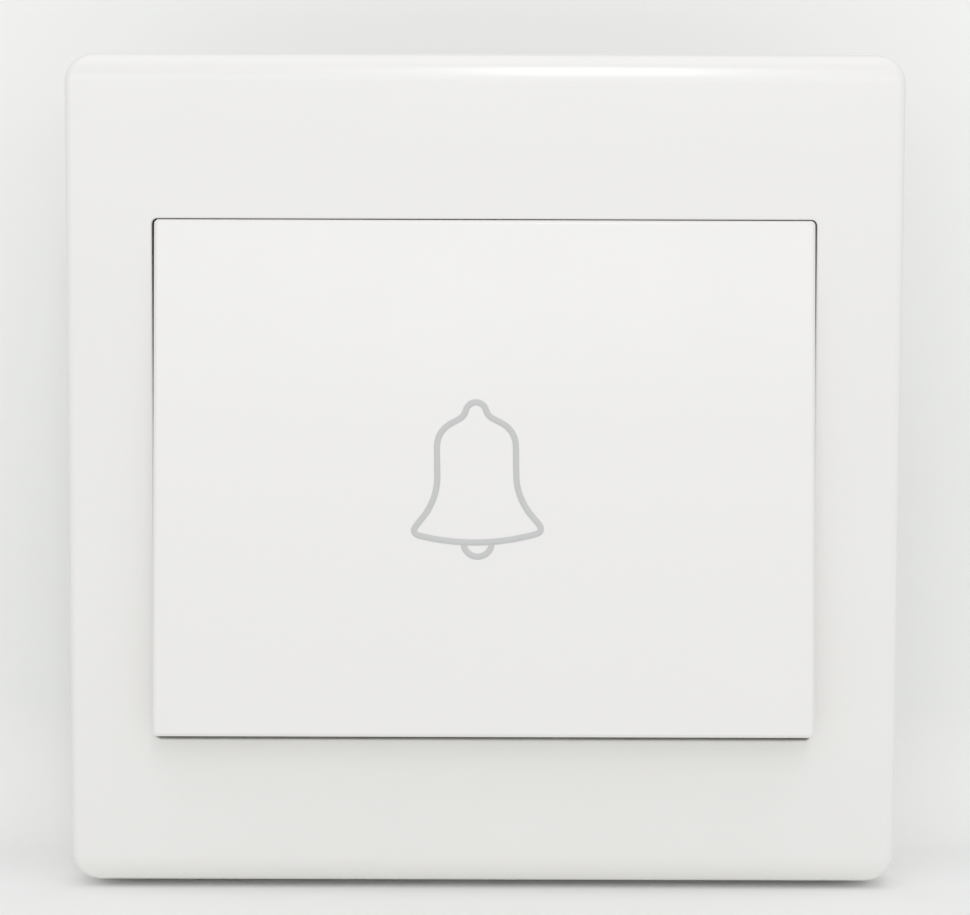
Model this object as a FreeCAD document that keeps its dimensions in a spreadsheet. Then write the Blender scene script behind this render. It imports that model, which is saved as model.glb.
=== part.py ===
import FreeCAD, Part
import Sketcher
import math
import os
import re

# A flush door bell push on a square wall plate.
# The origin is the centre of the wall plane. X runs to the right, Z up and Y into the wall.
# So the front faces -Y. A level is a distance out of the wall plane, towards the person who presses the key:
# a level L lies at Y = -L.
# The key and its cradle are drawn level about their pivot, and then tilted to their rest position.

V = FreeCAD.Vector

SIZES = {
    "plate_size": (86, "side of the square cover frame"),
    "plate_corner": (3, "corner radius of the frame, seen from the front"),
    "face_level": (8, "front face of the frame"),
    "frame_wall": (1.8, "wall of the frame moulding"),
    "shoulder_height": (2.8, "height of the soft shoulder along the top and bottom edges"),
    "shoulder_drop": (1, "how far the shoulder falls back towards the wall"),
    "edge_round": (0.8, "outer edge radius of the frame"),
    "side_border": (8.85, "frame's border at each side of the opening"),
    "top_border": (16.75, "frame's border above the opening"),
    "bottom_border": (15.15, "frame's border below the opening"),
    "opening_corner": (1.1, "corner radius of the opening"),
    "collar_wall": (1.4, "wall of the collar that lines the opening"),
    "collar_level": (3.2, "where the collar ends, behind the face"),
    "hook_gap": (0.5, "clearance between the snap arms and the base plate's rim"),
    "hook_height": (20, "height of the snap arms above and below the centre"),
    "hook_width": (6, "width of a snap arm"),
    "hook_thickness": (1.2, "thickness of a snap arm"),
    "hook_catch": (0.9, "how far a snap arm's barb stands out"),
    "side_gap": (0.25, "gap between the key and the opening at each side"),
    "top_gap": (0.45, "gap above the key when it is level"),
    "end_gap": (0.65, "gap below the key when it is level"),
    "key_front": (5, "front face of the key, from the pivot"),
    "key_wall": (1.8, "front wall of the key"),
    "key_skirt": (1.2, "wall of the skirt round the key"),
    "key_corner": (0.8, "corner radius of the key, seen from the front"),
    "key_bevel": (0.3, "bevel round the key's face"),
    "key_depth_top": (4.8, "depth of the skirt at the key's top end"),
    "key_depth_bottom": (6.2, "depth of the skirt at the key's bottom end"),
    "rib_thickness": (1, "thickness of the ribs inside the key"),
    "rib_depth": (1.5, "depth of the ribs inside the key"),
    "rib_aside": (8.2, "upright ribs, out from the cradle's sides"),
    "rib_beyond": (4, "level ribs, out from the cradle's ends"),
    "key_tilt": (5, "degrees that the key leans out at its bottom end at rest"),
    "key_travel": (7, "degrees that the key turns when it is pressed"),
    "pivot_level": (5.5, "pivot axis, out of the wall plane"),
    "trunnion_radius": (1.5, "stub axles of the cradle"),
    "pivot_fit": (0.05, "radial clearance of the stub axles in their ears"),
    "print_thickness": (0.04, "thickness of the printed bell"),
    "bell_stroke": (0.62, "width of the printed line"),
    "bell_across": (0.74, "bell's centre line, to the left of the key's"),
    "bell_rise": (0.12, "bell's centre, above the key's"),
    "bell_turn": (0.9, "degrees that the bell leans to the left"),
    "bell_knob": (1.07, "radius of the knob on the bell"),
    "bell_top": (7.8, "top of the knob, above the bell's centre"),
    "bell_neck": (1.39, "half width where the neck meets the shoulders"),
    "bell_side": (4.04, "half width between the bell's straight sides"),
    "bell_shoulder": (2.6, "radius of the bell's shoulders"),
    "bell_shoulder_turn": (62, "degrees that a shoulder turns before it runs straight to the neck"),
    "bell_shoulder_rise": (3.3, "where the shoulders begin, above the bell's centre"),
    "bell_waist": (0.3, "where the straight sides end, above the bell's centre"),
    "bell_flare": (6.6, "radius of the bend into the flare"),
    "bell_slope": (40, "degrees that the flare leans out"),
    "bell_mouth": (6.47, "half width of the bell's mouth"),
    "bell_lip": (0.55, "width of the rounded lip at each side of the mouth"),
    "bell_lip_drop": (0.8, "height of the rounded lip"),
    "bell_bottom": (6.57, "lowest point of the mouth's curve, below the bell's centre"),
    "bell_clapper": (1.45, "radius of the clapper"),
    "cradle_width": (29.6, "width of the cradle across its side cheeks"),
    "cradle_height": (30, "height of the cradle"),
    "cradle_deck": (1.4, "thickness of the deck under the key"),
    "cradle_cheek": (1.2, "thickness of the side cheeks"),
    "cheek_depth": (2.2, "depth of the cheeks behind the pivot"),
    "cheek_tip": (0.5, "depth of the cheeks behind the pivot at their ends"),
    "cheek_waist": (6, "half height of the deep part of the cheeks"),
    "seat_gap": (0.1, "clearance where two pieces seat on each other"),
    "leg_across": (9, "key's snap legs, from the centre line"),
    "leg_height": (8, "key's snap legs, above and below the pivot"),
    "leg_width": (4, "width of a snap leg"),
    "leg_thickness": (1.2, "thickness of a snap leg"),
    "leg_catch": (0.5, "how far a snap leg's barb stands out"),
    "window_gap": (0.3, "clearance round a snap leg or barb in its window"),
    "push_arm": (12, "plunger axis, from the pivot"),
    "pad_radius": (1.5, "round nose that bears on the plunger"),
    "pad_width": (5, "width of the round nose"),
    "stop_arm": (13.4, "stops of the cradle, from the pivot"),
    "stop_across": (10, "stops of the cradle, from the centre line"),
    "stop_size": (1.6, "thickness of a stop"),
    "stop_gap": (0.12, "clearance left under a stop at the end of its travel"),
    "base_level": (0.3, "back face of the base plate"),
    "base_web": (2, "web of the base plate"),
    "base_fit": (0.3, "clearance between the base plate and the frame round it"),
    "base_corner": (1.6, "corner radius of the base plate"),
    "rim_wall": (1.6, "wall of the rim round the base plate"),
    "rim_level": (5.6, "top of the rim round the base plate"),
    "slot_spacing": (60.3, "distance between the fixing slots"),
    "slot_radius": (2.2, "half width of a fixing slot"),
    "slot_length": (7.4, "length of a fixing slot"),
    "slot_pad": (2.1, "wall of the raised seat round a fixing slot"),
    "slot_seat": (0.6, "height of the raised seat"),
    "ear_thickness": (2, "thickness of the pivot ears"),
    "ear_radius": (2.9, "radius of the ears round the pivot"),
    "ear_gap": (0.2, "side clearance between the cradle and the ears"),
    "guide_wall": (1.25, "wall of the plunger's guide tube"),
    "guide_front": (0.6, "how far the guide tube stands out of the web"),
    "guide_level": (1.6, "how far the guide tube reaches behind the wall plane"),
    "guide_fit": (0.15, "radial clearance of the plunger in its guide"),
    "screw_inset": (4, "housing screws, in from the housing's sides and ends"),
    "screw_radius": (1.4, "shank radius of the housing screws"),
    "screw_fit": (0.05, "radial clearance of a screw in its pilot hole"),
    "screw_head": (2.6, "head radius of the housing screws"),
    "screw_head_height": (1.7, "head height of the housing screws"),
    "cross_reach": (0.62, "half length of the driver's cross, as a share of the head's radius"),
    "cross_width": (0.15, "half width of the driver's cross, as a share of the head's radius"),
    "cross_depth": (1, "depth of the driver's cross"),
    "screw_reach": (3.6, "tip of the housing screws, out of the wall plane"),
    "boss_radius": (2.7, "screw bosses of the base plate"),
    "boss_level": (4.6, "top of the screw bosses of the base plate"),
    "locator": (1.1, "height of the ribs that locate the housing"),
    "locator_thickness": (1, "thickness of the locating ribs"),
    "locator_half": (8, "half length of the locating ribs"),
    "locator_fit": (0.2, "clearance of the locating ribs in the housing"),
    "housing_width": (44, "width of the contact housing"),
    "housing_height": (50, "height of the contact housing"),
    "housing_depth": (20, "back of the contact housing, behind the wall plane"),
    "housing_wall": (1.6, "side walls of the contact housing"),
    "housing_floor": (2, "floor of the contact housing"),
    "housing_corner": (2, "corner radius of the contact housing"),
    "housing_bevel": (0.6, "bevel round the back of the contact housing"),
    "pillar_radius": (3.6, "screw pillars in the housing"),
    "pillar_fit": (0.2, "radial clearance of the screws in their pillars"),
    "head_fit": (0.3, "radial clearance of the screw heads"),
    "plunger_radius": (2.6, "stem of the plunger"),
    "carrier_width": (7, "width of the plunger's contact carrier"),
    "carrier_height": (6.4, "height of the plunger's contact carrier"),
    "carrier_gap": (0.3, "carrier's clearance below its guide at rest"),
    "carrier_depth": (6.5, "depth of the contact carrier"),
    "carrier_window": (3.4, "depth of the window for the contact bridge"),
    "carrier_sill": (1.4, "sill of the window"),
    "spigot_radius": (1.5, "spigot that centres the return spring"),
    "spigot_length": (1.5, "length of the spring's spigots"),
    "spring_radius": (2.3, "mean radius of the return spring"),
    "spring_wire": (0.25, "wire radius of the return spring"),
    "spring_turns": (5, "turns of the return spring"),
    "contact_inset": (12, "contacts and terminals, in from the housing's sides"),
    "bridge_end": (2, "length of the bridge beyond each contact"),
    "bridge_height": (4, "width of the contact bridge"),
    "brass_thickness": (0.8, "thickness of the contact parts"),
    "rivet_radius": (0.8, "shank radius of the contact rivets"),
    "rivet_fit": (0.05, "radial clearance of the contact rivets"),
    "rivet_head": (1.7, "head radius of the contact rivets"),
    "rivet_crown": (0.95, "head height of the contact rivets"),
    "contact_rest": (0.1, "contact gap left when the key is fully pressed"),
    "strip_width": (4.6, "width of the contact strips"),
    "tail_gap": (1, "gap between the strip's tail and the floor of the housing"),
    "strip_overhang": (3.2, "strip's end, below the contact"),
    "strip_bend": (0.5, "inside radius of the strip's bend"),
    "pedestal_width": (5.6, "width of the posts under the strips"),
    "pedestal_height": (5, "height of the posts under the strips"),
    "pedestal_rise": (3, "upper posts, above the centre"),
    "clamp_width": (7, "width of a terminal clamp"),
    "clamp_height": (8, "height of a terminal clamp"),
    "clamp_depth": (6.2, "depth of a terminal clamp"),
    "terminal_inset": (13.8, "underside of a terminal clamp, below the top of the housing"),
    "clamp_side": (1, "side walls of a terminal clamp"),
    "clamp_bottom": (1.1, "bottom wall of a terminal clamp"),
    "clamp_top": (2.2, "threaded wall of a terminal clamp"),
    "clamp_lift": (0.15, "terminal clamp's clearance over the floor"),
    "pocket_wall": (1, "ribs that hold the terminal clamps"),
    "pocket_fit": (0.2, "clearance of the terminal clamps between their ribs"),
    "pocket_depth": (7, "height of the ribs that hold the clamps"),
    "wire_radius": (1.9, "wire entry holes in the housing's floor"),
    "driver_radius": (2.4, "screwdriver holes in the housing's top wall"),
    "clamp_screw": (1.6, "shank radius of the terminal screws"),
    "clamp_screw_head": (2.2, "head radius of the terminal screws"),
    "clamp_screw_height": (1.5, "head height of the terminal screws"),
    "clamp_screw_reach": (0.6, "how far a terminal screw stands into its clamp"),
    "clamp_screw_rise": (0.6, "gap under a terminal screw's head, left open for the wire"),
    "driver_slot": (0.7, "slot in the screw heads"),
    "driver_slot_depth": (0.7, "depth of the slot in the screw heads"),
}

doc = FreeCAD.newDocument("DoorBellPush")
sheet = doc.addObject("Spreadsheet::Sheet", "sizes")
for row, (alias, (value, note)) in enumerate(SIZES.items(), start=1):
    sheet.set("A%d" % row, alias)
    sheet.set("B%d" % row, str(value))
    sheet.setAlias("B%d" % row, alias)
    sheet.set("C%d" % row, note)
doc.recompute()

# Formulas that several pieces share.
HALF_PLATE = "plate_size / 2"
PIVOT_HEIGHT = "((bottom_border - top_border) / 2)"
OPENING_ACROSS = "(plate_size / 2 - side_border)"
OPENING_UP = "((plate_size - top_border - bottom_border) / 2)"
KEY_ACROSS = "(plate_size / 2 - side_border - side_gap)"
KEY_UP = "((plate_size - top_border - bottom_border) / 2 - top_gap)"
KEY_DOWN = "((plate_size - top_border - bottom_border) / 2 - end_gap)"
FACE_BACK = "(face_level - frame_wall)"
HOOK_OUT = "(plate_size / 2 - frame_wall - base_fit - rim_wall - hook_gap)"
HOOK_IN = "(plate_size / 2 - frame_wall - base_fit - rim_wall - hook_gap - hook_thickness)"
WEB_TOP = "(base_level + base_web)"
BASE_HALF = "(plate_size / 2 - frame_wall - base_fit)"
BARB_LOW = "(%s + window_gap + 0.3 * hook_catch)" % WEB_TOP
KEY_INNER = "(key_front - key_wall)"
DECK_TOP = "(key_front - key_wall - seat_gap)"
DECK_BACK = "(key_front - key_wall - seat_gap - cradle_deck)"
EAR_IN = "(cradle_width / 2 + ear_gap)"
GUIDE_RADIUS = "(plunger_radius + guide_fit)"
PUSH_HEIGHT = "((bottom_border - top_border) / 2 - push_arm * cos(key_tilt * 1 deg))"
SCREW_ACROSS = "(housing_width / 2 - screw_inset)"
SCREW_UP = "(housing_height / 2 - screw_inset)"
CONTACT_ACROSS = "(housing_width / 2 - contact_inset)"
RIB_ACROSS = "(cradle_width / 2 + rib_aside)"
RIB_UP = "(cradle_height / 2 + rib_beyond)"
CLAMP_BASE = "(housing_height / 2 - terminal_inset)"
TRAVEL = "(push_arm * (sin(key_tilt * 1 deg) - sin((key_tilt - key_travel) * 1 deg)))"
PLUNGER_TOP = "(pivot_level + push_arm * sin(key_tilt * 1 deg) - pad_radius - seat_gap)"
CARRIER_TOP = "-(guide_level + carrier_gap)"
CARRIER_BACK = "-(guide_level + carrier_gap + carrier_depth)"
BRIDGE_BACK = "-(guide_level + carrier_gap + carrier_depth - carrier_sill - seat_gap)"
STRIP_FRONT = "(guide_level + carrier_gap + carrier_depth - carrier_sill - seat_gap"
STRIP_FRONT += " + 2 * rivet_crown + contact_rest + %s)" % TRAVEL
FLOOR = "(housing_depth - housing_floor)"
CLAMP_MIDDLE = "(housing_depth - housing_floor - clamp_lift - clamp_depth / 2)"
CLAMP_INSIDE = "(housing_height / 2 - terminal_inset + clamp_bottom)"

RUNS_PER_TURN = 10
PLANES = {"front": "XZ_Plane", "side": "YZ_Plane", "plan": "XY_Plane"}


def size(alias):
    """The value of one size, for the few places that need a number and not a formula."""
    return float(getattr(sheet, alias))


def formula(text):
    """The text with each size led by the sheet's name, as an expression needs it."""
    return re.sub(r"[a-z_]+", lambda m: "sizes." + m.group() if m.group() in SIZES else m.group(), text)


def new_body(name):
    """An empty body, labelled with the name of its piece."""
    body = doc.addObject("PartDesign::Body", name)
    body.Label = name
    return body


def new_sketch(body, name, view, place):
    """A sketch on one of the body's own planes.

    The place is a level for the front view, a distance across for the side view and a height for the plan.
    """
    sketch = body.newObject("Sketcher::SketchObject", body.Name + "_" + name)
    plane = next(f for f in body.Origin.OriginFeatures if f.Role == PLANES[view])
    sketch.AttachmentSupport = [(plane, "")]
    sketch.MapMode = "FlatFace"
    sketch.setExpression("AttachmentOffset.Base.z", formula(place))
    return sketch


def set_constraint(sketch, formula_text, kind, *arguments):
    """A constraint whose value follows a formula. It starts from the value that the drawing has already."""
    if kind == "Radius":
        start = sketch.Geometry[arguments[0]].Radius
    elif kind == "DistanceX":
        start = sketch.getPoint(arguments[2], arguments[3]).x
    else:
        start = sketch.getPoint(arguments[2], arguments[3]).y
    index = sketch.addConstraint(Sketcher.Constraint(kind, *arguments, start))
    sketch.setExpression("Constraints[%d]" % index, formula(formula_text))


def pin(sketch, view, geometry, position, point):
    """Fixes one point.

    Front points are (across, height), side points (level, height) and plan points (across, level).
    """
    first, second = point
    if view == "side":
        first = "-(%s)" % first
    if view == "plan":
        second = "-(%s)" % second
    set_constraint(sketch, first, "DistanceX", -1, 1, geometry, position)
    set_constraint(sketch, second, "DistanceY", -1, 1, geometry, position)


def polygon(sketch, view, points):
    """A closed outline of straight lines, with every corner fixed."""
    count = len(points)
    first = len(sketch.Geometry)
    corners = []
    for index in range(count):
        angle = 2 * math.pi * index / count
        corners.append(V(10 * math.cos(angle), 10 * math.sin(angle), 0))
    for index in range(count):
        sketch.addGeometry(Part.LineSegment(corners[index], corners[(index + 1) % count]))
    for index, point in enumerate(points):
        following = first + (index + 1) % count
        sketch.addConstraint(Sketcher.Constraint("Coincident", first + index, 2, following, 1))
        pin(sketch, view, first + index, 1, point)


def rectangle(sketch, view, low, high):
    """An upright rectangle between two opposite corners."""
    polygon(sketch, view, [low, (high[0], low[1]), high, (low[0], high[1])])


def centred(sketch, across, up, middle="0"):
    """A rectangle in the front view, centred on the middle line, with its half width and half height."""
    low = ("-(%s)" % across, "%s - (%s)" % (middle, up))
    high = ("(%s)" % across, "%s + (%s)" % (middle, up))
    rectangle(sketch, "front", low, high)


def circle(sketch, view, centre, radius):
    """A circle with its centre and radius fixed."""
    geometry = sketch.addGeometry(Part.Circle(V(0, 0, 0), V(0, 0, 1), 1))
    pin(sketch, view, geometry, 3, centre)
    set_constraint(sketch, radius, "Radius", geometry)


def slot(sketch, centre, half_run, radius):
    """A level slot in the front view: two half circles, joined by straight sides."""
    rounds = [Part.Circle(V(across, 0, 0), V(0, 0, 1), 2) for across in (-3, 3)]
    left = sketch.addGeometry(Part.ArcOfCircle(rounds[0], math.pi / 2, 3 * math.pi / 2))
    low = sketch.addGeometry(Part.LineSegment(V(-3, -2, 0), V(3, -2, 0)))
    right = sketch.addGeometry(Part.ArcOfCircle(rounds[1], -math.pi / 2, math.pi / 2))
    high = sketch.addGeometry(Part.LineSegment(V(3, 2, 0), V(-3, 2, 0)))
    for before, after in ((left, low), (low, right), (right, high), (high, left)):
        sketch.addConstraint(Sketcher.Constraint("Coincident", before, 2, after, 1))
    for arc, sign in ((left, "-"), (right, "+")):
        pin(sketch, "front", arc, 3, ("%s %s (%s)" % (centre[0], sign, half_run), centre[1]))
        sketch.addConstraint(Sketcher.Constraint("Vertical", arc, 1, arc, 3))
        sketch.addConstraint(Sketcher.Constraint("Vertical", arc, 2, arc, 3))
    set_constraint(sketch, radius, "Radius", left)
    sketch.addConstraint(Sketcher.Constraint("Equal", left, right))


def pad(body, sketch, length, both_ways=False):
    """Adds the sketch's outline as a solid, along its plane's outward direction or both ways."""
    feature = body.newObject("PartDesign::Pad", sketch.Name + "_pad")
    feature.Profile = sketch
    feature.setExpression("Length", formula(length))
    if both_ways:
        feature.SideType = "Symmetric"
    doc.recompute()
    return feature


def cut(body, sketch, length, outward=False, both_ways=False):
    """Takes the sketch's outline out of the body, and makes sure that it did."""
    before = body.Tip.Shape.Volume
    feature = body.newObject("PartDesign::Pocket", sketch.Name + "_cut")
    feature.Profile = sketch
    feature.setExpression("Length", formula(length))
    feature.Reversed = outward
    if both_ways:
        feature.SideType = "Symmetric"
    doc.recompute()
    if not feature.Shape.Volume < before - 1e-6:
        raise RuntimeError(sketch.Name + " cuts nothing")
    return feature


def turn(body, sketch, axis):
    """Turns the sketch's outline once round one of the body's own axes."""
    feature = body.newObject("PartDesign::Revolution", sketch.Name + "_turn")
    feature.Profile = sketch
    feature.ReferenceAxis = (next(f for f in body.Origin.OriginFeatures if f.Role == axis), [""])
    feature.Angle = 360
    doc.recompute()
    return feature


def round_edges(body, name, radius, chosen):
    """Rounds the edges that the test picks."""
    base = body.Tip
    names = ["Edge%d" % (i + 1) for i, edge in enumerate(base.Shape.Edges) if chosen(edge)]
    if not names:
        raise RuntimeError("no edge to round for " + name)
    feature = body.newObject("PartDesign::Fillet", body.Name + "_" + name)
    feature.Base = (base, names)
    feature.setExpression("Radius", formula(radius))
    doc.recompute()
    return feature


def bevel_edges(body, name, width, chosen):
    """Bevels the edges that the test picks."""
    base = body.Tip
    names = ["Edge%d" % (i + 1) for i, edge in enumerate(base.Shape.Edges) if chosen(edge)]
    if not names:
        raise RuntimeError("no edge to bevel for " + name)
    feature = body.newObject("PartDesign::Chamfer", body.Name + "_" + name)
    feature.Base = (base, names)
    feature.setExpression("Size", formula(width))
    doc.recompute()
    return feature


def pivot_height():
    """Height of the pivot axis, which is the middle of the opening."""
    return (size("bottom_border") - size("top_border")) / 2


def place(item, across, level, height, tilt="0"):
    """Puts a piece at its place, turned about the X axis by the tilt."""
    where = "vector(%s; -(%s); %s)" % (across, level, height)
    item.setExpression("Placement", formula("placement(%s; rotation(vector(1; 0; 0); %s))" % (where, tilt)))


def near(value, wanted):
    return abs(value - wanted) < 1e-4


def at_level(edge, level):
    """True for an edge that lies flat at the level."""
    return near(edge.BoundBox.YMin, -level) and near(edge.BoundBox.YMax, -level)


def along(edge, direction):
    """True for a straight edge along the direction."""
    straight = isinstance(edge.Curve, (Part.Line, Part.LineSegment))
    return straight and edge.tangentAt(edge.FirstParameter).cross(direction).Length < 1e-6


def corner_edges(half_across, half_up, middle=0.0):
    """A test for the edges at the four corners of an upright block, which run out of the wall."""

    def chosen(edge):
        box = edge.BoundBox
        at_side = near(abs(box.Center.x), half_across)
        at_end = near(abs(box.Center.z - middle), half_up)
        return along(edge, V(0, 1, 0)) and at_side and at_end

    return chosen


def mirrored(name, source, normal):
    """The mirror image of an object, in the plane through the origin with that normal."""
    image = doc.addObject("Part::Mirroring", name)
    image.Source = source
    image.Normal = normal
    return image


def grouped(name, items):
    """One object of separate solids."""
    compound = doc.addObject("Part::Compound", name)
    compound.Label = name
    compound.Links = items
    return compound


def make_cover_frame():
    """The square frame: a shallow moulding with soft shoulders, a lined opening and snap arms behind."""
    body = new_body("cover_frame")
    block = new_sketch(body, "block", "front", "0")
    centred(block, HALF_PLATE, HALF_PLATE)
    pad(body, block, "face_level")
    half = size("plate_size") / 2
    round_edges(body, "corners", "plate_corner", corner_edges(half, half))
    make_shoulders(body)
    round_edges(body, "outer_edge", "edge_round", front_rim_edge)
    hollow = new_sketch(body, "hollow", "front", "0")
    centred(hollow, HALF_PLATE + " - frame_wall", HALF_PLATE + " - frame_wall")
    cut(body, hollow, FACE_BACK, outward=True)
    opening = new_sketch(body, "opening", "front", "face_level")
    centred(opening, OPENING_ACROSS, OPENING_UP, PIVOT_HEIGHT)
    cut(body, opening, "frame_wall + 1")
    collar = new_sketch(body, "collar", "front", "collar_level")
    centred(collar, OPENING_ACROSS, OPENING_UP, PIVOT_HEIGHT)
    centred(collar, OPENING_ACROSS + " + collar_wall", OPENING_UP + " + collar_wall", PIVOT_HEIGHT)
    pad(body, collar, FACE_BACK + " - collar_level")
    across = half - size("side_border")
    up = half - (size("top_border") + size("bottom_border")) / 2
    round_edges(body, "opening_corners", "opening_corner", corner_edges(across, up, pivot_height()))
    for sign, end in (("", "top"), ("-", "bottom")):
        arms = new_sketch(body, "arms_" + end, "plan", sign + "hook_height")
        for side in ("", "-"):
            polygon(arms, "plan", hook_outline(side))
        pad(body, arms, "hook_width", both_ways=True)
    return body


def make_shoulders(body):
    """Rolls the face back towards the wall along the top and bottom edges, with one large arc each."""
    radius = "((shoulder_height ^ 2 + shoulder_drop ^ 2) / (2 * shoulder_drop))"
    start = HALF_PLATE + " - shoulder_height"
    for sign, end in (("", "top"), ("-", "bottom")):
        sketch = new_sketch(body, "shoulder_" + end, "side", "0")
        turned = 1 if end == "top" else -1
        face = size("face_level")
        half = size("plate_size") / 2
        begin = half - size("shoulder_height")
        bend = (size("shoulder_height") ** 2 + size("shoulder_drop") ** 2) / (2 * size("shoulder_drop"))
        sweep = math.asin(size("shoulder_height") / bend)
        points = [V(-face, turned * begin, 0), V(size("shoulder_drop") - face, turned * half, 0)]
        low, high = (math.pi - sweep, math.pi) if turned > 0 else (math.pi, math.pi + sweep)
        round_shape = Part.Circle(V(bend - face, turned * begin, 0), V(0, 0, 1), bend)
        arc = sketch.addGeometry(Part.ArcOfCircle(round_shape, low, high))
        # the ends of an arc are numbered counter-clockwise
        first, last = (2, 1) if turned > 0 else (1, 2)
        set_constraint(sketch, "-(face_level - %s)" % radius, "DistanceX", -1, 1, arc, 3)
        set_constraint(sketch, "%s(%s)" % (sign, start), "DistanceY", -1, 1, arc, 3)
        set_constraint(sketch, "-face_level", "DistanceX", -1, 1, arc, first)
        set_constraint(sketch, "%s(%s)" % (sign, start), "DistanceY", -1, 1, arc, first)
        set_constraint(sketch, "%s(%s)" % (sign, HALF_PLATE), "DistanceY", -1, 1, arc, last)
        outside = V(size("shoulder_drop") - face, turned * (half + 1), 0)
        corner = V(-face - 1, turned * (half + 1), 0)
        lines = [
            sketch.addGeometry(Part.LineSegment(points[1], outside)),
            sketch.addGeometry(Part.LineSegment(outside, corner)),
            sketch.addGeometry(Part.LineSegment(corner, points[0])),
        ]
        sketch.addConstraint(Sketcher.Constraint("Coincident", arc, last, lines[0], 1))
        sketch.addConstraint(Sketcher.Constraint("Coincident", lines[0], 2, lines[1], 1))
        sketch.addConstraint(Sketcher.Constraint("Coincident", lines[1], 2, lines[2], 1))
        sketch.addConstraint(Sketcher.Constraint("Coincident", lines[2], 2, arc, first))
        beyond = "%s(%s + 1)" % (sign, HALF_PLATE)
        pin(sketch, "side", lines[1], 1, ("face_level - shoulder_drop", beyond))
        pin(sketch, "side", lines[1], 2, ("face_level + 1", beyond))
        cut(body, sketch, "plate_size + 2", both_ways=True)


def front_rim_edge(edge):
    """True for the edges that run round the front rim of the frame, with its shoulders."""
    box = edge.BoundBox
    half = size("plate_size") / 2
    in_front = box.YMax < -(size("face_level") - size("shoulder_drop")) + 1e-3
    at_side = near(abs(box.XMin), half) and near(abs(box.XMax), half) and near(box.XMin, box.XMax)
    at_end = near(box.ZMin, box.ZMax) and near(abs(box.ZMax), half)
    side_run = half - size("plate_corner")
    in_corner = abs(box.Center.x) > side_run and abs(box.Center.z) > side_run
    return in_front and (at_side or at_end or in_corner)


def hook_outline(side):
    """One snap arm in plan: a straight arm with a ramped barb that faces outwards."""
    barb = "(%s + hook_catch)" % HOOK_OUT
    tip = "(%s + 0.3 * hook_catch)" % HOOK_OUT
    points = [
        (HOOK_IN, FACE_BACK + " + 0.2"),
        (HOOK_IN, WEB_TOP + " + window_gap"),
        (tip, WEB_TOP + " + window_gap"),
        (barb, BARB_LOW + " + hook_catch"),
        (barb, BARB_LOW + " + 1.4 * hook_catch"),
        (HOOK_OUT, BARB_LOW + " + 1.6 * hook_catch"),
        (HOOK_OUT, FACE_BACK + " + 0.2"),
    ]
    return [(side + point[0], point[1]) for point in points]


def make_base_plate():
    """The plate screwed to the wall box. It holds the frame, the pivot ears and the plunger's guide."""
    body = new_body("base_plate")
    block = new_sketch(body, "block", "front", "base_level")
    centred(block, BASE_HALF, BASE_HALF)
    pad(body, block, "rim_level - base_level")
    half = size("plate_size") / 2 - size("frame_wall") - size("base_fit")
    round_edges(body, "corners", "base_corner", corner_edges(half, half))
    tray = new_sketch(body, "tray", "front", "rim_level")
    centred(tray, BASE_HALF + " - rim_wall", BASE_HALF + " - rim_wall")
    cut(body, tray, "rim_level - " + WEB_TOP)
    windows = new_sketch(body, "windows", "side", "0")
    for sign in ("", "-"):
        low = ("%s + 0.01" % WEB_TOP, "%shook_height - hook_width / 2 - window_gap" % sign)
        top = "%shook_height + hook_width / 2 + window_gap" % sign
        rectangle(windows, "side", low, (BARB_LOW + " + 1.6 * hook_catch + window_gap", top))
    cut(body, windows, "plate_size", both_ways=True)
    make_fixing_slots(body)
    make_ears(body)
    make_guide(body)
    make_plate_bosses(body)
    return body


def make_fixing_slots(body):
    """Two level slots with raised seats, at the standard distance."""
    seats = new_sketch(body, "seats", "front", WEB_TOP)
    slots = new_sketch(body, "slots", "front", WEB_TOP + " + slot_seat")
    run = "slot_length / 2 - slot_radius"
    for side in ("", "-"):
        centre = (side + "slot_spacing / 2", "0")
        slot(seats, centre, run, "slot_radius + slot_pad")
        slot(slots, centre, run, "slot_radius")
    pad(body, seats, "slot_seat")
    cut(body, slots, "base_web + slot_seat + 1")


def make_ears(body):
    """Two ears that carry the cradle's stub axles."""
    for across, side in ((EAR_IN, "right"), ("-(%s + ear_thickness)" % EAR_IN, "left")):
        stem = new_sketch(body, "ear_stem_" + side, "side", across)
        low = ("base_level + base_web / 2", PIVOT_HEIGHT + " - ear_radius")
        rectangle(stem, "side", low, ("pivot_level", PIVOT_HEIGHT + " + ear_radius"))
        pad(body, stem, "ear_thickness")
        crown = new_sketch(body, "ear_crown_" + side, "side", across)
        circle(crown, "side", ("pivot_level", PIVOT_HEIGHT), "ear_radius")
        pad(body, crown, "ear_thickness")
    bores = new_sketch(body, "ear_bores", "side", EAR_IN + " + ear_thickness + 1")
    circle(bores, "side", ("pivot_level", PIVOT_HEIGHT), "trunnion_radius + pivot_fit")
    cut(body, bores, "2 * (%s + ear_thickness + 1)" % EAR_IN)


def make_guide(body):
    """The tube that guides the plunger through the web."""
    tube = new_sketch(body, "guide", "front", "-guide_level")
    circle(tube, "front", ("0", PUSH_HEIGHT), GUIDE_RADIUS + " + guide_wall")
    pad(body, tube, "guide_level + %s + guide_front" % WEB_TOP)
    bore = new_sketch(body, "guide_bore", "front", WEB_TOP + " + guide_front")
    circle(bore, "front", ("0", PUSH_HEIGHT), GUIDE_RADIUS)
    cut(body, bore, "guide_level + %s + guide_front + 1" % WEB_TOP)


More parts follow.
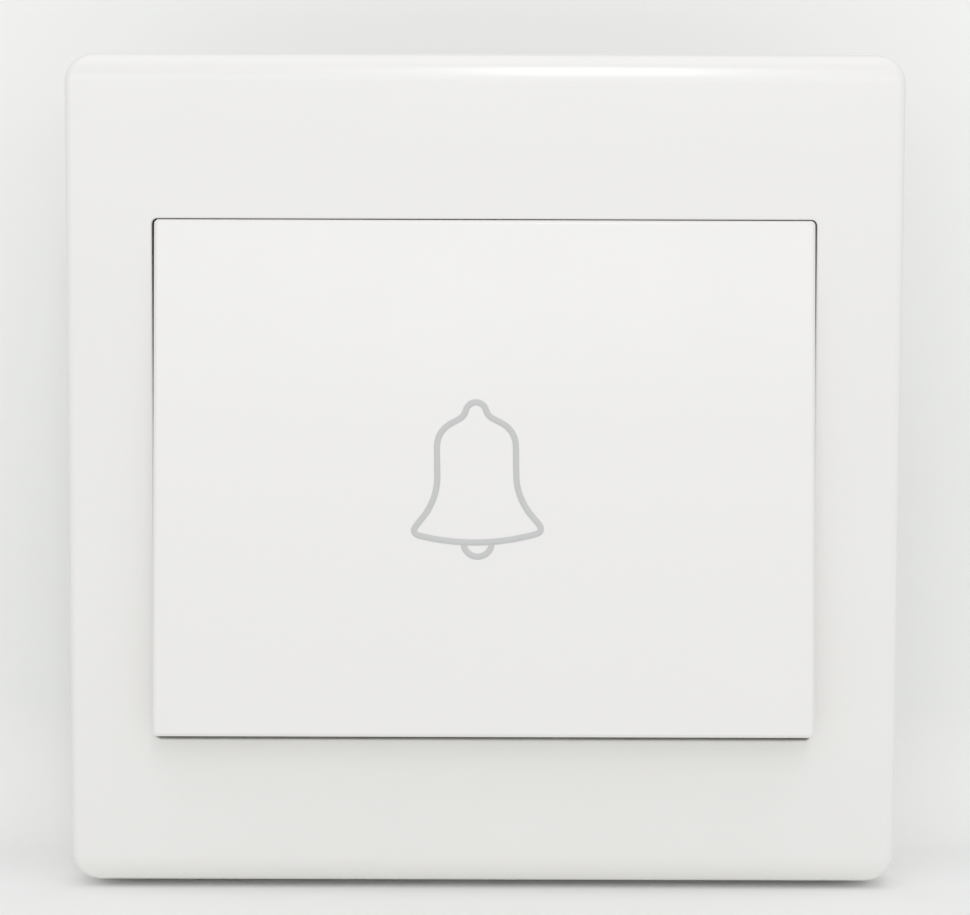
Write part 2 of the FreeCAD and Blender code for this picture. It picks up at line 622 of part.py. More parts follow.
def make_plate_bosses(body):
    """Blind bosses for the housing screws, and ribs that locate the housing behind the web."""
    bosses = new_sketch(body, "bosses", "front", "base_level + base_web / 2")
    pilots = new_sketch(body, "pilots", "front", "base_level")
    for sign in ("", "-"):
        centre = (sign + SCREW_ACROSS, sign + SCREW_UP)
        circle(bosses, "front", centre, "boss_radius")
        circle(pilots, "front", centre, "screw_radius + screw_fit")
    pad(body, bosses, "boss_level - base_level - base_web / 2")
    cut(body, pilots, "screw_reach - base_level + screw_fit", outward=True)
    ribs = new_sketch(body, "locators", "front", "base_level - locator")
    out = "(housing_width / 2 - housing_wall - locator_fit)"
    for side in ("", "-"):
        low = ("%s(%s)" % (side, out), "-locator_half")
        rectangle(ribs, "front", low, ("%s(%s - locator_thickness)" % (side, out), "locator_half"))
    pad(body, ribs, "locator + base_web / 2")


def make_push_key():
    """The large key: a flat face with a skirt that is deeper at the bottom, with ribs and four snap legs."""
    body = new_body("push_key")
    block = new_sketch(body, "block", "front", "key_front - key_depth_bottom")
    rectangle(block, "front", ("-" + KEY_ACROSS, "-" + KEY_DOWN), (KEY_ACROSS, KEY_UP))
    pad(body, block, "key_depth_bottom")
    half_across = size("plate_size") / 2 - size("side_border") - size("side_gap")
    opening_up = size("plate_size") - size("top_border") - size("bottom_border")
    half_up = (opening_up - size("top_gap") - size("end_gap")) / 2
    middle = (size("end_gap") - size("top_gap")) / 2
    round_edges(body, "corners", "key_corner", corner_edges(half_across, half_up, middle))
    bevel_edges(body, "face_edge", "key_bevel", lambda e: at_level(e, size("key_front")))
    hollow = new_sketch(body, "hollow", "front", "key_front - key_depth_bottom")
    low = ("-(%s - key_skirt)" % KEY_ACROSS, "-(%s - key_skirt)" % KEY_DOWN)
    rectangle(hollow, "front", low, (KEY_ACROSS + " - key_skirt", KEY_UP + " - key_skirt"))
    cut(body, hollow, "key_depth_bottom - key_wall", outward=True)
    slant = new_sketch(body, "slant", "side", "0")
    polygon(slant, "side", [
        ("key_front - key_depth_bottom", "-" + KEY_DOWN),
        ("key_front - key_depth_top", KEY_UP),
        ("key_front - key_depth_top", KEY_UP + " + 1"),
        ("key_front - key_depth_bottom - 1", KEY_UP + " + 1"),
        ("key_front - key_depth_bottom - 1", "-" + KEY_DOWN),
    ])
    cut(body, slant, "plate_size", both_ways=True)
    top_of_rib = KEY_UP + " - key_skirt / 2"
    foot_of_rib = "-(%s - key_skirt / 2)" % KEY_DOWN
    side_of_rib = KEY_ACROSS + " - key_skirt / 2"
    for sign, side in (("", "right"), ("-", "left")):
        upright = new_sketch(body, "rib_" + side, "front", KEY_INNER + " - rib_depth")
        low = ("%s(%s - rib_thickness / 2)" % (sign, RIB_ACROSS), foot_of_rib)
        high = ("%s(%s + rib_thickness / 2)" % (sign, RIB_ACROSS), top_of_rib)
        rectangle(upright, "front", low, high)
        pad(body, upright, "rib_depth")
    for sign, end in (("", "top"), ("-", "bottom")):
        level = new_sketch(body, "rib_" + end, "front", KEY_INNER + " - rib_depth")
        low = ("-(%s)" % side_of_rib, "%s(%s - rib_thickness / 2)" % (sign, RIB_UP))
        high = (side_of_rib, "%s(%s + rib_thickness / 2)" % (sign, RIB_UP))
        rectangle(level, "front", low, high)
        pad(body, level, "rib_depth")
        legs = new_sketch(body, "legs_" + end, "plan", sign + "leg_height")
        for side in ("", "-"):
            polygon(legs, "plan", leg_outline(side))
        pad(body, legs, "leg_width", both_ways=True)
    place(body, "0", "pivot_level", PIVOT_HEIGHT, "-key_tilt")
    return body


def leg_outline(side):
    """One snap leg in plan: it goes through the cradle's deck and catches behind it."""
    catch = "(leg_across + leg_thickness + leg_catch)"
    outer = "(leg_across + leg_thickness)"
    points = [
        ("leg_across", KEY_INNER + " + 0.2"),
        ("leg_across", DECK_BACK + " - 3 * leg_catch"),
        (outer, DECK_BACK + " - 3 * leg_catch"),
        (catch, DECK_BACK + " - seat_gap - leg_catch"),
        (catch, DECK_BACK + " - seat_gap"),
        (outer, DECK_BACK + " - seat_gap"),
        (outer, KEY_INNER + " + 0.2"),
    ]
    return [(side + point[0], point[1]) for point in points]


def make_bell_print():
    """The bell sign, a thin line printed on the key: the bell's outline, with a round clapper under it."""
    level = size("key_front")
    half_line = size("bell_stroke") / 2
    slope = math.radians(size("bell_slope"))
    shoulder_turn = math.radians(size("bell_shoulder_turn"))
    knob = size("bell_knob")
    knob_up = size("bell_top") - knob
    neck = size("bell_neck")
    side = size("bell_side")
    shoulder = size("bell_shoulder")
    shoulder_up = size("bell_shoulder_rise")
    bend = size("bell_flare")
    waist = size("bell_waist")
    mouth = size("bell_mouth")
    lip = size("bell_lip")

    def spot(across, up):
        return V(across, -level, up)

    def on_shoulder(angle):
        return (side - shoulder * (1 - math.cos(angle)), shoulder_up + shoulder * math.sin(angle))

    def on_flare(angle):
        return (side + bend * (1 - math.cos(angle)), waist - bend * math.sin(angle))

    crown = on_shoulder(shoulder_turn)
    neck_up = crown[1] + (crown[0] - neck) / math.tan(shoulder_turn)
    bend_end = on_flare(slope)
    mouth_up = bend_end[1] - (mouth - bend_end[0]) / math.tan(slope)
    lip_middle = (mouth - lip * 0.08, mouth_up - size("bell_lip_drop") * 0.62)
    lip_end = (mouth - lip, mouth_up - size("bell_lip_drop"))
    edges = [
        Part.Arc(spot(knob, knob_up), spot(0, knob_up + knob), spot(-knob, knob_up)),
        Part.Arc(spot(*lip_end), spot(0, -size("bell_bottom")), spot(-lip_end[0], lip_end[1])),
    ]
    for sign in (1, -1):
        knob_foot = spot(sign * knob, knob_up)
        neck_foot = spot(sign * neck, neck_up)
        crown_end = spot(sign * crown[0], crown[1])
        shoulder_middle = on_shoulder(shoulder_turn / 2)
        flare_middle = on_flare(slope / 2)
        side_top = spot(sign * side, shoulder_up)
        side_foot = spot(sign * side, waist)
        flare_end = spot(sign * bend_end[0], bend_end[1])
        mouth_side = spot(sign * mouth, mouth_up)
        lip_point = spot(sign * lip_middle[0], lip_middle[1])
        edges += [
            Part.LineSegment(knob_foot, neck_foot),
            Part.LineSegment(neck_foot, crown_end),
            Part.Arc(crown_end, spot(sign * shoulder_middle[0], shoulder_middle[1]), side_top),
            Part.LineSegment(side_top, side_foot),
            Part.Arc(side_foot, spot(sign * flare_middle[0], flare_middle[1]), flare_end),
            Part.LineSegment(flare_end, mouth_side),
            Part.Arc(mouth_side, lip_point, spot(sign * lip_end[0], lip_end[1])),
        ]
    outline = Part.Wire(Part.__sortEdges__([curve.toShape() for curve in edges]))
    rise = V(0, -size("print_thickness"), 0)
    blocks = [Part.Face(outline.makeOffset2D(step)).extrude(rise) for step in (half_line, -half_line)]
    blocks.sort(key=lambda block: -block.Volume)
    centre = spot(0, -size("bell_bottom"))
    radius = size("bell_clapper")
    rods = [Part.makeCylinder(radius + step, rise.Length, centre, rise) for step in (half_line, -half_line)]
    clapper = rods[0].cut(rods[1]).cut(blocks[0])
    solid = blocks[0].cut(blocks[1]).fuse(clapper).removeSplitter()
    solid.rotate(V(0, 0, 0), V(0, 1, 0), -size("bell_turn"))
    solid.translate(V(-size("bell_across"), 0, size("bell_rise")))
    feature = doc.addObject("Part::Feature", "bell_print")
    feature.Label = "bell_print"
    feature.Shape = solid
    place(feature, "0", "pivot_level", PIVOT_HEIGHT, "-key_tilt")
    return feature


def make_rocker_cradle():
    """The cradle that the key snaps on to: deck, cheeks with stub axles, stops and the plunger's nose."""
    body = new_body("rocker_cradle")
    deck = new_sketch(body, "deck", "front", DECK_BACK)
    centred(deck, "cradle_width / 2", "cradle_height / 2")
    pad(body, deck, "cradle_deck")
    windows = new_sketch(body, "windows", "front", DECK_TOP)
    for side in ("", "-"):
        for end in ("", "-"):
            low = ("%s(leg_across - window_gap)" % side, "%sleg_height - leg_width / 2 - window_gap" % end)
            far_side = "%s(leg_across + leg_thickness + window_gap)" % side
            high = (far_side, "%sleg_height + leg_width / 2 + window_gap" % end)
            rectangle(windows, "front", low, high)
    cut(body, windows, "cradle_deck + 1")
    for across, side in (("cradle_width / 2 - cradle_cheek", "right"), ("-cradle_width / 2", "left")):
        cheek = new_sketch(body, "cheek_" + side, "side", across)
        polygon(cheek, "side", [
            (DECK_BACK + " + 0.2", "-cradle_height / 2"),
            ("-cheek_tip", "-cradle_height / 2"),
            ("-cheek_depth", "-cheek_waist"),
            ("-cheek_depth", "cheek_waist"),
            ("-cheek_tip", "cradle_height / 2"),
            (DECK_BACK + " + 0.2", "cradle_height / 2"),
        ])
        pad(body, cheek, "cradle_cheek")
    reach = "(ear_gap + 0.9 * ear_thickness)"
    for across, side in (("cradle_width / 2", "right"), ("-(cradle_width / 2 + %s)" % reach, "left")):
        stub = new_sketch(body, "stub_" + side, "side", across)
        circle(stub, "side", ("0", "0"), "trunnion_radius")
        pad(body, stub, reach)
    nose = new_sketch(body, "nose", "side", "0")
    circle(nose, "side", ("0", "-push_arm"), "pad_radius")
    pad(body, nose, "pad_width", both_ways=True)
    web = new_sketch(body, "nose_web", "side", "0")
    high = (DECK_BACK + " + 0.2", "-(push_arm - pad_radius)")
    rectangle(web, "side", ("0", "-(push_arm + pad_radius)"), high)
    pad(body, web, "pad_width", both_ways=True)
    leans = {"top": ("", "key_tilt"), "bottom": ("-", "(key_travel - key_tilt)")}
    for end, (sign, lean) in leans.items():
        depth = "(pivot_level - %s - stop_gap - stop_arm * sin(%s * 1 deg))" % (WEB_TOP, lean)
        stops = new_sketch(body, "stops_" + end, "front", "-(%s - 0.07)" % depth)
        for side in ("", "-"):
            low = ("%sstop_across - stop_size" % side, "%sstop_arm - stop_size / 2" % sign)
            high = ("%sstop_across + stop_size" % side, "%sstop_arm + stop_size / 2" % sign)
            rectangle(stops, "front", low, high)
        pad(body, stops, "%s - 0.07 + %s + 0.2" % (depth, DECK_BACK))
    place(body, "0", "pivot_level", PIVOT_HEIGHT, "-key_tilt")
    return body


def make_plunger():
    """The plunger: a round stem and a square carrier, with a window for the contact bridge and a spigot."""
    body = new_body("plunger")
    carrier = new_sketch(body, "carrier", "front", CARRIER_BACK)
    centred(carrier, "carrier_width / 2", "carrier_height / 2")
    pad(body, carrier, "carrier_depth")
    window = new_sketch(body, "window", "side", "0")
    low = (CARRIER_BACK + " + carrier_sill", "-(bridge_height / 2 + seat_gap)")
    high = (CARRIER_BACK + " + carrier_sill + carrier_window", "bridge_height / 2 + seat_gap")
    rectangle(window, "side", low, high)
    cut(body, window, "carrier_width + 2", both_ways=True)
    stem = new_sketch(body, "stem", "front", CARRIER_TOP + " - 0.2")
    circle(stem, "front", ("0", "0"), "plunger_radius")
    pad(body, stem, "%s - (%s) + 0.2" % (PLUNGER_TOP, CARRIER_TOP))
    spigot = new_sketch(body, "spigot", "front", CARRIER_BACK + " - spigot_length")
    circle(spigot, "front", ("0", "0"), "spigot_radius")
    pad(body, spigot, "spigot_length + 0.2")
    place(body, "0", "0", PUSH_HEIGHT)
    return body


def make_return_spring():
    """The coil spring behind the plunger: six-sided wire, in short straight runs with mitred corners."""
    radius = size("spring_radius")
    wire = size("spring_wire")
    front = -(size("guide_level") + size("carrier_gap") + size("carrier_depth")) - size("seat_gap") - wire
    back = -(size("housing_depth") - size("housing_floor")) + size("seat_gap") + wire
    runs = int(round(RUNS_PER_TURN * size("spring_turns")))
    corners = []
    for step in range(runs + 1):
        angle = 2 * math.pi * step / RUNS_PER_TURN
        level = back + (front - back) * step / runs
        corners.append(V(radius * math.cos(angle), -level, radius * math.sin(angle)))
    ahead = (corners[1] - corners[0]).normalize()
    aside = ahead.cross(V(0, 1, 0)).normalize()
    across = ahead.cross(aside).normalize()
    rim = []
    for step in range(7):
        angle = math.pi * step / 3
        rim.append(corners[0] + aside * (wire * math.cos(angle)) + across * (wire * math.sin(angle)))
    section = Part.Wire(Part.makePolygon(rim))
    coil = Part.Wire(Part.makePolygon(corners)).makePipeShell([section], True, False, 1)
    feature = doc.addObject("Part::Feature", "return_spring")
    feature.Label = "return_spring"
    feature.Shape = Part.Solid(Part.Shell(coil.Faces)) if not coil.Solids else coil
    height = pivot_height() - size("push_arm") * math.cos(math.radians(size("key_tilt")))
    feature.Placement = FreeCAD.Placement(V(0, 0, height), FreeCAD.Rotation())
    return feature


def make_contact_bridge():
    """The bar in the plunger's window that joins the two fixed contacts when the key is pressed."""
    body = new_body("contact_bridge")
    bar = new_sketch(body, "bar", "front", BRIDGE_BACK)
    centred(bar, CONTACT_ACROSS + " + bridge_end", "bridge_height / 2")
    pad(body, bar, "brass_thickness")
    holes = new_sketch(body, "holes", "front", BRIDGE_BACK + " + brass_thickness")
    for side in ("", "-"):
        circle(holes, "front", (side + CONTACT_ACROSS, "0"), "rivet_radius + rivet_fit")
    cut(body, holes, "brass_thickness + 1")
    place(body, "0", "0", PUSH_HEIGHT)
    return body


def make_rivet(name, side, level, facing):
    """A silver contact rivet: a flat head, with its shank through the brass."""
    body = new_body(name)
    outline = new_sketch(body, "outline", "side", "0")
    polygon(outline, "side", [
        ("-%s(brass_thickness)" % facing, "0"),
        ("-%s(brass_thickness)" % facing, "rivet_radius"),
        ("%s(0.02)" % facing, "rivet_radius"),
        ("%s(0.02)" % facing, "rivet_head"),
        ("%s(rivet_crown)" % facing, "rivet_head"),
        ("%s(rivet_crown)" % facing, "0"),
    ])
    turn(body, outline, "Y_Axis")
    place(body, side + CONTACT_ACROSS, level, PUSH_HEIGHT)
    return body


def make_contact_strip(name, side):
    """The brass strip from a fixed contact up to its terminal, with its tail bent back into the clamp."""
    body = new_body(name)
    front = "-%s" % STRIP_FRONT
    back = "-(%s + brass_thickness)" % STRIP_FRONT
    tail = "(%s + seat_gap + brass_thickness)" % CLAMP_INSIDE
    outline = new_sketch(body, "outline", "side", "0")
    foot = "%s - strip_overhang" % PUSH_HEIGHT
    polygon(outline, "side", [
        (front, foot),
        (front, tail),
        ("-(%s - tail_gap)" % FLOOR, tail),
        ("-(%s - tail_gap)" % FLOOR, tail + " - brass_thickness"),
        (back, tail + " - brass_thickness"),
        (back, foot),
    ])
    pad(body, outline, "strip_width", both_ways=True)
    top = size("housing_height") / 2 - size("terminal_inset") + size("clamp_bottom")
    top += size("seat_gap") + size("brass_thickness")

    def bend_edge(up, radius):
        def chosen(edge):
            at_height = near(edge.BoundBox.Center.z, up)
            deepest = max(abs(v.Point.y) for v in body.Tip.Shape.Vertexes)
            return along(edge, V(1, 0, 0)) and at_height and abs(edge.BoundBox.Center.y) < deepest - 1

        return radius, chosen

    for name_end, (radius, chosen) in {
        "outer_bend": bend_edge(top, "strip_bend + brass_thickness"),
        "inner_bend": bend_edge(top - size("brass_thickness"), "strip_bend"),
    }.items():
        round_edges(body, name_end, radius, chosen)
    hole = new_sketch(body, "hole", "front", "0")
    circle(hole, "front", ("0", PUSH_HEIGHT), "rivet_radius + rivet_fit")
    cut(body, hole, "housing_depth")
    place(body, side + CONTACT_ACROSS, "0", "0")
    return body


def make_terminal_clamp(name, side):
    """The brass box clamp that grips the wire against the strip's tail."""
    body = new_body(name)
    block = new_sketch(body, "block", "front", "-(clamp_depth / 2)")
    high = ("clamp_width / 2", CLAMP_BASE + " + clamp_height")
    rectangle(block, "front", ("-clamp_width / 2", CLAMP_BASE), high)
    pad(body, block, "clamp_depth")
    inside = new_sketch(body, "inside", "front", "clamp_depth / 2")
    high = ("clamp_width / 2 - clamp_side", CLAMP_BASE + " + clamp_height - clamp_top")
    rectangle(inside, "front", ("-(clamp_width / 2 - clamp_side)", CLAMP_INSIDE), high)
    cut(body, inside, "clamp_depth + 1")
    thread = new_sketch(body, "thread", "plan", CLAMP_BASE + " + clamp_height")
    circle(thread, "plan", ("0", "0"), "clamp_screw + screw_fit")
    cut(body, thread, "clamp_top")
    place(body, side + CONTACT_ACROSS, "-(%s)" % CLAMP_MIDDLE, "0")
    return body


def make_terminal_screws():
    """The two slotted screws of the terminal clamps."""
    body = new_body("terminal_screw")
    top = "(%s + clamp_height + clamp_screw_rise)" % CLAMP_BASE
    tip = "(%s + clamp_height - clamp_top - clamp_screw_reach)" % CLAMP_BASE
    outline = new_sketch(body, "outline", "plan", "0")
    outline.AttachmentSupport = [(next(f for f in body.Origin.OriginFeatures if f.Role == "XZ_Plane"), "")]
    polygon(outline, "front", [
        ("0", tip),
        ("clamp_screw", tip),
        ("clamp_screw", top),
        ("clamp_screw_head", top),
        ("clamp_screw_head", top + " + clamp_screw_height"),
        ("0", top + " + clamp_screw_height"),
    ])
    turn(body, outline, "Z_Axis")
    groove = new_sketch(body, "groove", "plan", top + " + clamp_screw_height")
    low = ("-clamp_screw_head", "-driver_slot / 2")
    rectangle(groove, "plan", low, ("clamp_screw_head", "driver_slot / 2"))
    cut(body, groove, "driver_slot_depth")
    place(body, CONTACT_ACROSS, "-(%s)" % CLAMP_MIDDLE, "0")
    other = mirrored("terminal_screw_left", body, V(1, 0, 0))
    return grouped("terminal_screws", [body, other])


def make_housing_screws():
    """The two screws that hold the housing behind the base plate, at opposite corners."""
    body = new_body("housing_screw")
    seat = "-(housing_depth - screw_head_height - seat_gap)"
    outline = new_sketch(body, "outline", "side", "0")
    polygon(outline, "side", [
        ("-(housing_depth - seat_gap)", "0"),
        ("-(housing_depth - seat_gap)", "screw_head"),
        (seat, "screw_head"),
        (seat, "screw_radius"),
        ("screw_reach", "screw_radius"),
        ("screw_reach", "0"),
    ])
    turn(body, outline, "Y_Axis")
    reach = "cross_reach * screw_head"
    width = "cross_width * screw_head"
    for name, across, up in (("level", reach, width), ("upright", width, reach)):
        groove = new_sketch(body, "cross_" + name, "front", "-(housing_depth - seat_gap - cross_depth)")
        centred(groove, across, up)
        cut(body, groove, "screw_head_height")
    place(body, SCREW_ACROSS, "0", SCREW_UP)
    beside = mirrored("housing_screw_beside", body, V(1, 0, 0))
    opposite = mirrored("housing_screw_opposite", beside, V(0, 0, 1))
    return grouped("housing_screws", [body, opposite])


def make_rear_housing():
    """The box behind the base plate: screw pillars, posts under the strips, clamp ribs and wire entries."""
    body = new_body("rear_housing")
    block = new_sketch(body, "block", "front", "-housing_depth")
    centred(block, "housing_width / 2", "housing_height / 2")
    pad(body, block, "housing_depth + base_level")
    corners = corner_edges(size("housing_width") / 2, size("housing_height") / 2)
    round_edges(body, "corners", "housing_corner", corners)
    bevel_edges(body, "back_edge", "housing_bevel", lambda e: at_level(e, -size("housing_depth")))
    hollow = new_sketch(body, "hollow", "front", "base_level")
    centred(hollow, "housing_width / 2 - housing_wall", "housing_height / 2 - housing_wall")
    cut(body, hollow, "base_level + %s" % FLOOR)
    pillars = new_sketch(body, "pillars", "front", "-%s - 0.2" % FLOOR)
    holes = new_sketch(body, "screw_holes", "front", "base_level")
    heads = new_sketch(body, "screw_heads", "front", "-housing_depth")
    for sign in ("", "-"):
        centre = (sign + SCREW_ACROSS, sign + SCREW_UP)
        circle(pillars, "front", centre, "pillar_radius")
        circle(holes, "front", centre, "screw_radius + pillar_fit")
        circle(heads, "front", centre, "screw_head + head_fit")
    pad(body, pillars, "base_level + %s + 0.2" % FLOOR)
    cut(body, holes, "base_level + housing_depth")
    cut(body, heads, "screw_head_height + 2 * seat_gap", outward=True)
    make_housing_posts(body)
    make_clamp_ribs(body)
    entries = new_sketch(body, "wire_entries", "front", "-%s" % FLOOR)
    drivers = new_sketch(body, "driver_holes", "plan", "housing_height / 2")
    wire_up = "%s + seat_gap + brass_thickness + wire_radius" % CLAMP_INSIDE
    for side in ("", "-"):
        circle(entries, "front", (side + CONTACT_ACROSS, wire_up), "wire_radius")
        circle(drivers, "plan", (side + CONTACT_ACROSS, "-(%s)" % CLAMP_MIDDLE), "driver_radius")
    cut(body, entries, "housing_floor")
    cut(body, drivers, "housing_wall")
    return body


def make_housing_posts(body):
    """Posts under the contact strips, and the spigot that centres the return spring."""
    posts = new_sketch(body, "posts", "front", "-%s - 0.2" % FLOOR)
    for side in ("", "-"):
        for middle in (PUSH_HEIGHT, "pedestal_rise"):
            across = side + CONTACT_ACROSS
            low = (across + " - pedestal_width / 2", "%s - pedestal_height / 2" % middle)
            high = (across + " + pedestal_width / 2", "%s + pedestal_height / 2" % middle)
            rectangle(posts, "front", low, high)
    pad(body, posts, "%s + 0.2 - (%s + brass_thickness)" % (FLOOR, STRIP_FRONT))
    sockets = new_sketch(body, "rivet_sockets", "front", "-(%s + brass_thickness)" % STRIP_FRONT)
    for side in ("", "-"):
        circle(sockets, "front", (side + CONTACT_ACROSS, PUSH_HEIGHT), "rivet_radius + rivet_fit")
    cut(body, sockets, "brass_thickness")
    spigot = new_sketch(body, "spigot", "front", "-%s - 0.2" % FLOOR)
    circle(spigot, "front", ("0", PUSH_HEIGHT), "spigot_radius")
    pad(body, spigot, "spigot_length + 0.2")


def make_clamp_ribs(body):
    """Upright ribs at each side of a terminal clamp, and a sill under it."""
    ribs = new_sketch(body, "clamp_ribs", "front", "-%s - 0.2" % FLOOR)
    inner = "(clamp_width / 2 + pocket_fit)"
    top = CLAMP_BASE + " + clamp_height"
    for side in ("", "-"):
        for beside in ("+", "-"):
            low = ("%s%s %s %s" % (side, CONTACT_ACROSS, beside, inner), CLAMP_BASE)
            high = ("%s%s %s (%s + pocket_wall)" % (side, CONTACT_ACROSS, beside, inner), top)
            rectangle(ribs, "front", low, high)
    pad(body, ribs, "pocket_depth + 0.2")
    sills = new_sketch(body, "clamp_sills", "front", "-%s - 0.2" % FLOOR)
    for side in ("", "-"):
        low = ("%s%s - clamp_width / 2" % (side, CONTACT_ACROSS), CLAMP_BASE + " - pocket_fit - pocket_wall")
        high = ("%s%s + clamp_width / 2" % (side, CONTACT_ACROSS), CLAMP_BASE + " - pocket_fit")
        rectangle(sills, "front", low, high)
    pad(body, sills, "%s + 0.2 - (%s + brass_thickness)" % (FLOOR, STRIP_FRONT))


FACE_OF_STRIP = "-%s" % STRIP_FRONT
subparts = [
    make_cover_frame(),
    make_base_plate(),
    make_push_key(),
    make_bell_print(),
    make_rocker_cradle(),
    make_plunger(),
    make_return_spring(),
    make_contact_bridge(),
]
for side, sign in (("left", "-"), ("right", "")):
    subparts.append(make_rivet(side + "_bridge_contact", sign, BRIDGE_BACK, "-"))
    subparts.append(make_rivet(side + "_fixed_contact", sign, FACE_OF_STRIP, ""))
    subparts.append(make_contact_strip(side + "_contact_strip", sign))
    subparts.append(make_terminal_clamp(side + "_terminal_clamp", sign))
subparts.append(make_terminal_screws())
subparts.append(make_housing_screws())
subparts.append(make_rear_housing())

doc.recompute()
failed = [item.Label for item in doc.Objects if "Invalid" in item.State or "Error" in item.State]
if failed:
    raise RuntimeError("these objects failed: " + ", ".join(failed))
for item in subparts:
    if item.Shape.isNull() or not item.Shape.isValid():
        raise RuntimeError(item.Label + " has no valid shape")
os.makedirs("parts", exist_ok=True)
for item in subparts:
    item.Shape.exportStep("parts/%s.step" % item.Label)
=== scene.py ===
"""The looks of a flush door bell push.

A square moulded frame holds a tilting key with a printed bell. The contacts' housing is behind it.
"""

import math

import bmesh
import bpy
import numpy as np
from mathutils import Matrix, Vector


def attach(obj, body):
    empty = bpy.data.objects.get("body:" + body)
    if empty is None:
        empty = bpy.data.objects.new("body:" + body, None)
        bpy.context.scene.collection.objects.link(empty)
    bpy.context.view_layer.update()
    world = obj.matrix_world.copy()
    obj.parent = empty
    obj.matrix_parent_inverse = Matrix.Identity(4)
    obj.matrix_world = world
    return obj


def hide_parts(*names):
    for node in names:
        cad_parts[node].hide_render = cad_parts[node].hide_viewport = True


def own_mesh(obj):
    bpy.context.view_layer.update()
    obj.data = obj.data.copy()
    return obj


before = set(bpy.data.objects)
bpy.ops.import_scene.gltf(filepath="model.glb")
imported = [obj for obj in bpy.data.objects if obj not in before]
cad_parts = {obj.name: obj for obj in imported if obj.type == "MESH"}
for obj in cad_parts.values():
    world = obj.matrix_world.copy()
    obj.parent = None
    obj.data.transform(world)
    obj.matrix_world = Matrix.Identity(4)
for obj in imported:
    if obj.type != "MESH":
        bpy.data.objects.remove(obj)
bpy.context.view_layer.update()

MM = 0.001

# The photograph's view, in millimetres and degrees: a long lens a little above the plate, aimed near its
# middle.
CAMERA_AIM = (0.09, 0.0, 0.98)
CAMERA_DISTANCE = 277.8
CAMERA_PITCH = 5.0
CAMERA_ROLL = 0.16
CAMERA_LENS = 97.0

# Sizes of the pieces that are made here, in millimetres. They are the part's own, with three exceptions. The
# small rounds of the rim and the lip are added here. The opening is a little smaller than the part's. The
# corners of the opening and the key have smaller radii, as the photograph shows them.
PLATE_HALF = 43.0
PLATE_CORNER = 3.0
FACE_LEVEL = 8.0
FRAME_WALL = 1.8
SHOULDER_HEIGHT = 2.8
SHOULDER_DROP = 1.0
EDGE_ROUND = 0.8
RIM_ROUND = 0.15
LIP_ROUND = 0.2
OPENING_HALF = (34.1, 27.015)
OPENING_MIDDLE = (-0.04, -0.835)
OPENING_CORNER = 0.6
KEY_CORNER_BEFORE = 0.8
KEY_CORNER = 0.5
COLLAR_WALL = 1.4
COLLAR_LEVEL = 3.2
HOOK_AT = 20.0
HOOK_HALF = 3.0
HOOK_THICKNESS = 1.2
HOOK_CATCH = 0.9
HOOK_INNER = 37.6
HOOK_TIP = 2.6
HOOK_ROOT = 0.1
PIVOT_LEVEL = 5.5
PIVOT_HEIGHT = -0.8
KEY_TILT = 5.0
KEY_FRONT = 5.0
PUSH_ARM = 12.0
PLUNGER_HEIGHT = PIVOT_HEIGHT - PUSH_ARM * math.cos(math.radians(KEY_TILT))

# How finely the pieces are made: steps round a corner and along a side of the frame, points and smoothings
# of the bell's line, steps for each turn of the coil, and sides of its wire.
ARC_STEPS = 20
SIDE_STEPS = 36
BELL_POINTS = 360
BELL_SMOOTHINGS = 6
COIL_STEPS = 40
WIRE_SIDES = 12

# How a copied node is softened. Points closer than the distance, in millimetres, are one. A face that turns
# by less than the flat angle is part of its neighbour.
MERGE_DISTANCE = 0.002
FLAT_ANGLE = math.radians(0.5)
SHARP_ANGLE = math.radians(28)
BEVEL_STEPS = 3

# Moulded plastic: the size of its patches in millimetres, and how far its gloss strays to either side.
PLASTIC_PATCH = 14.0
PLASTIC_STRAY = 0.03


def linear(code):
    """The linear colour of an sRGB hex code, with alpha 1."""
    channels = [int(code[i:i + 2], 16) / 255 for i in (1, 3, 5)]
    return tuple(c / 12.92 if c <= 0.04045 else ((c + 0.055) / 1.055) ** 2.4 for c in channels) + (1.0,)


def add(tree, kind, settings=None, links=None):
    """One shader node, with its settings by socket or property name and its links by socket name."""
    made = tree.nodes.new(kind)
    for name, value in (settings or {}).items():
        if name in made.inputs:
            made.inputs[name].default_value = value
        else:
            setattr(made, name, value)
    for name, source in (links or {}).items():
        tree.links.new(source, made.inputs[name])
    return made


def shader_of(name):
    """A new material with its node tree, and the shader to set up."""
    material = bpy.data.materials.new(name)
    material.use_nodes = True
    return material, material.node_tree, material.node_tree.nodes["Principled BSDF"]


def set_up(shader, **values):
    """Sets the shader's own sockets. An underscore in a name stands for a space."""
    for name, value in values.items():
        shader.inputs[name.replace("_", " ")].default_value = value


def noise(tree, where, size, detail, **settings):
    """Noise in all directions, with features of about the given size in millimetres."""
    settings.update(Scale=1 / (size * MM), Detail=detail)
    return add(tree, "ShaderNodeTexNoise", settings, {"Vector": where})


def tint(tree, shader, share, shade, other):
    """Blends the shader's colour between two hex codes, by a share from 0 to 1."""
    # The two colours of this node are its inputs 6 and 7, and the blend is its output 2.
    tone = add(tree, "ShaderNodeMix", {"data_type": "RGBA"}, {"Factor": share})
    tone.inputs[6].default_value = linear(shade)
    tone.inputs[7].default_value = linear(other)
    tree.links.new(tone.outputs[2], shader.inputs["Base Color"])


def vary_gloss(tree, shader, value, settings):
    """Sets the shader's roughness from a value, by a straight map."""
    gloss = add(tree, "ShaderNodeMapRange", settings, {"Value": value})
    tree.links.new(gloss.outputs["Result"], shader.inputs["Roughness"])


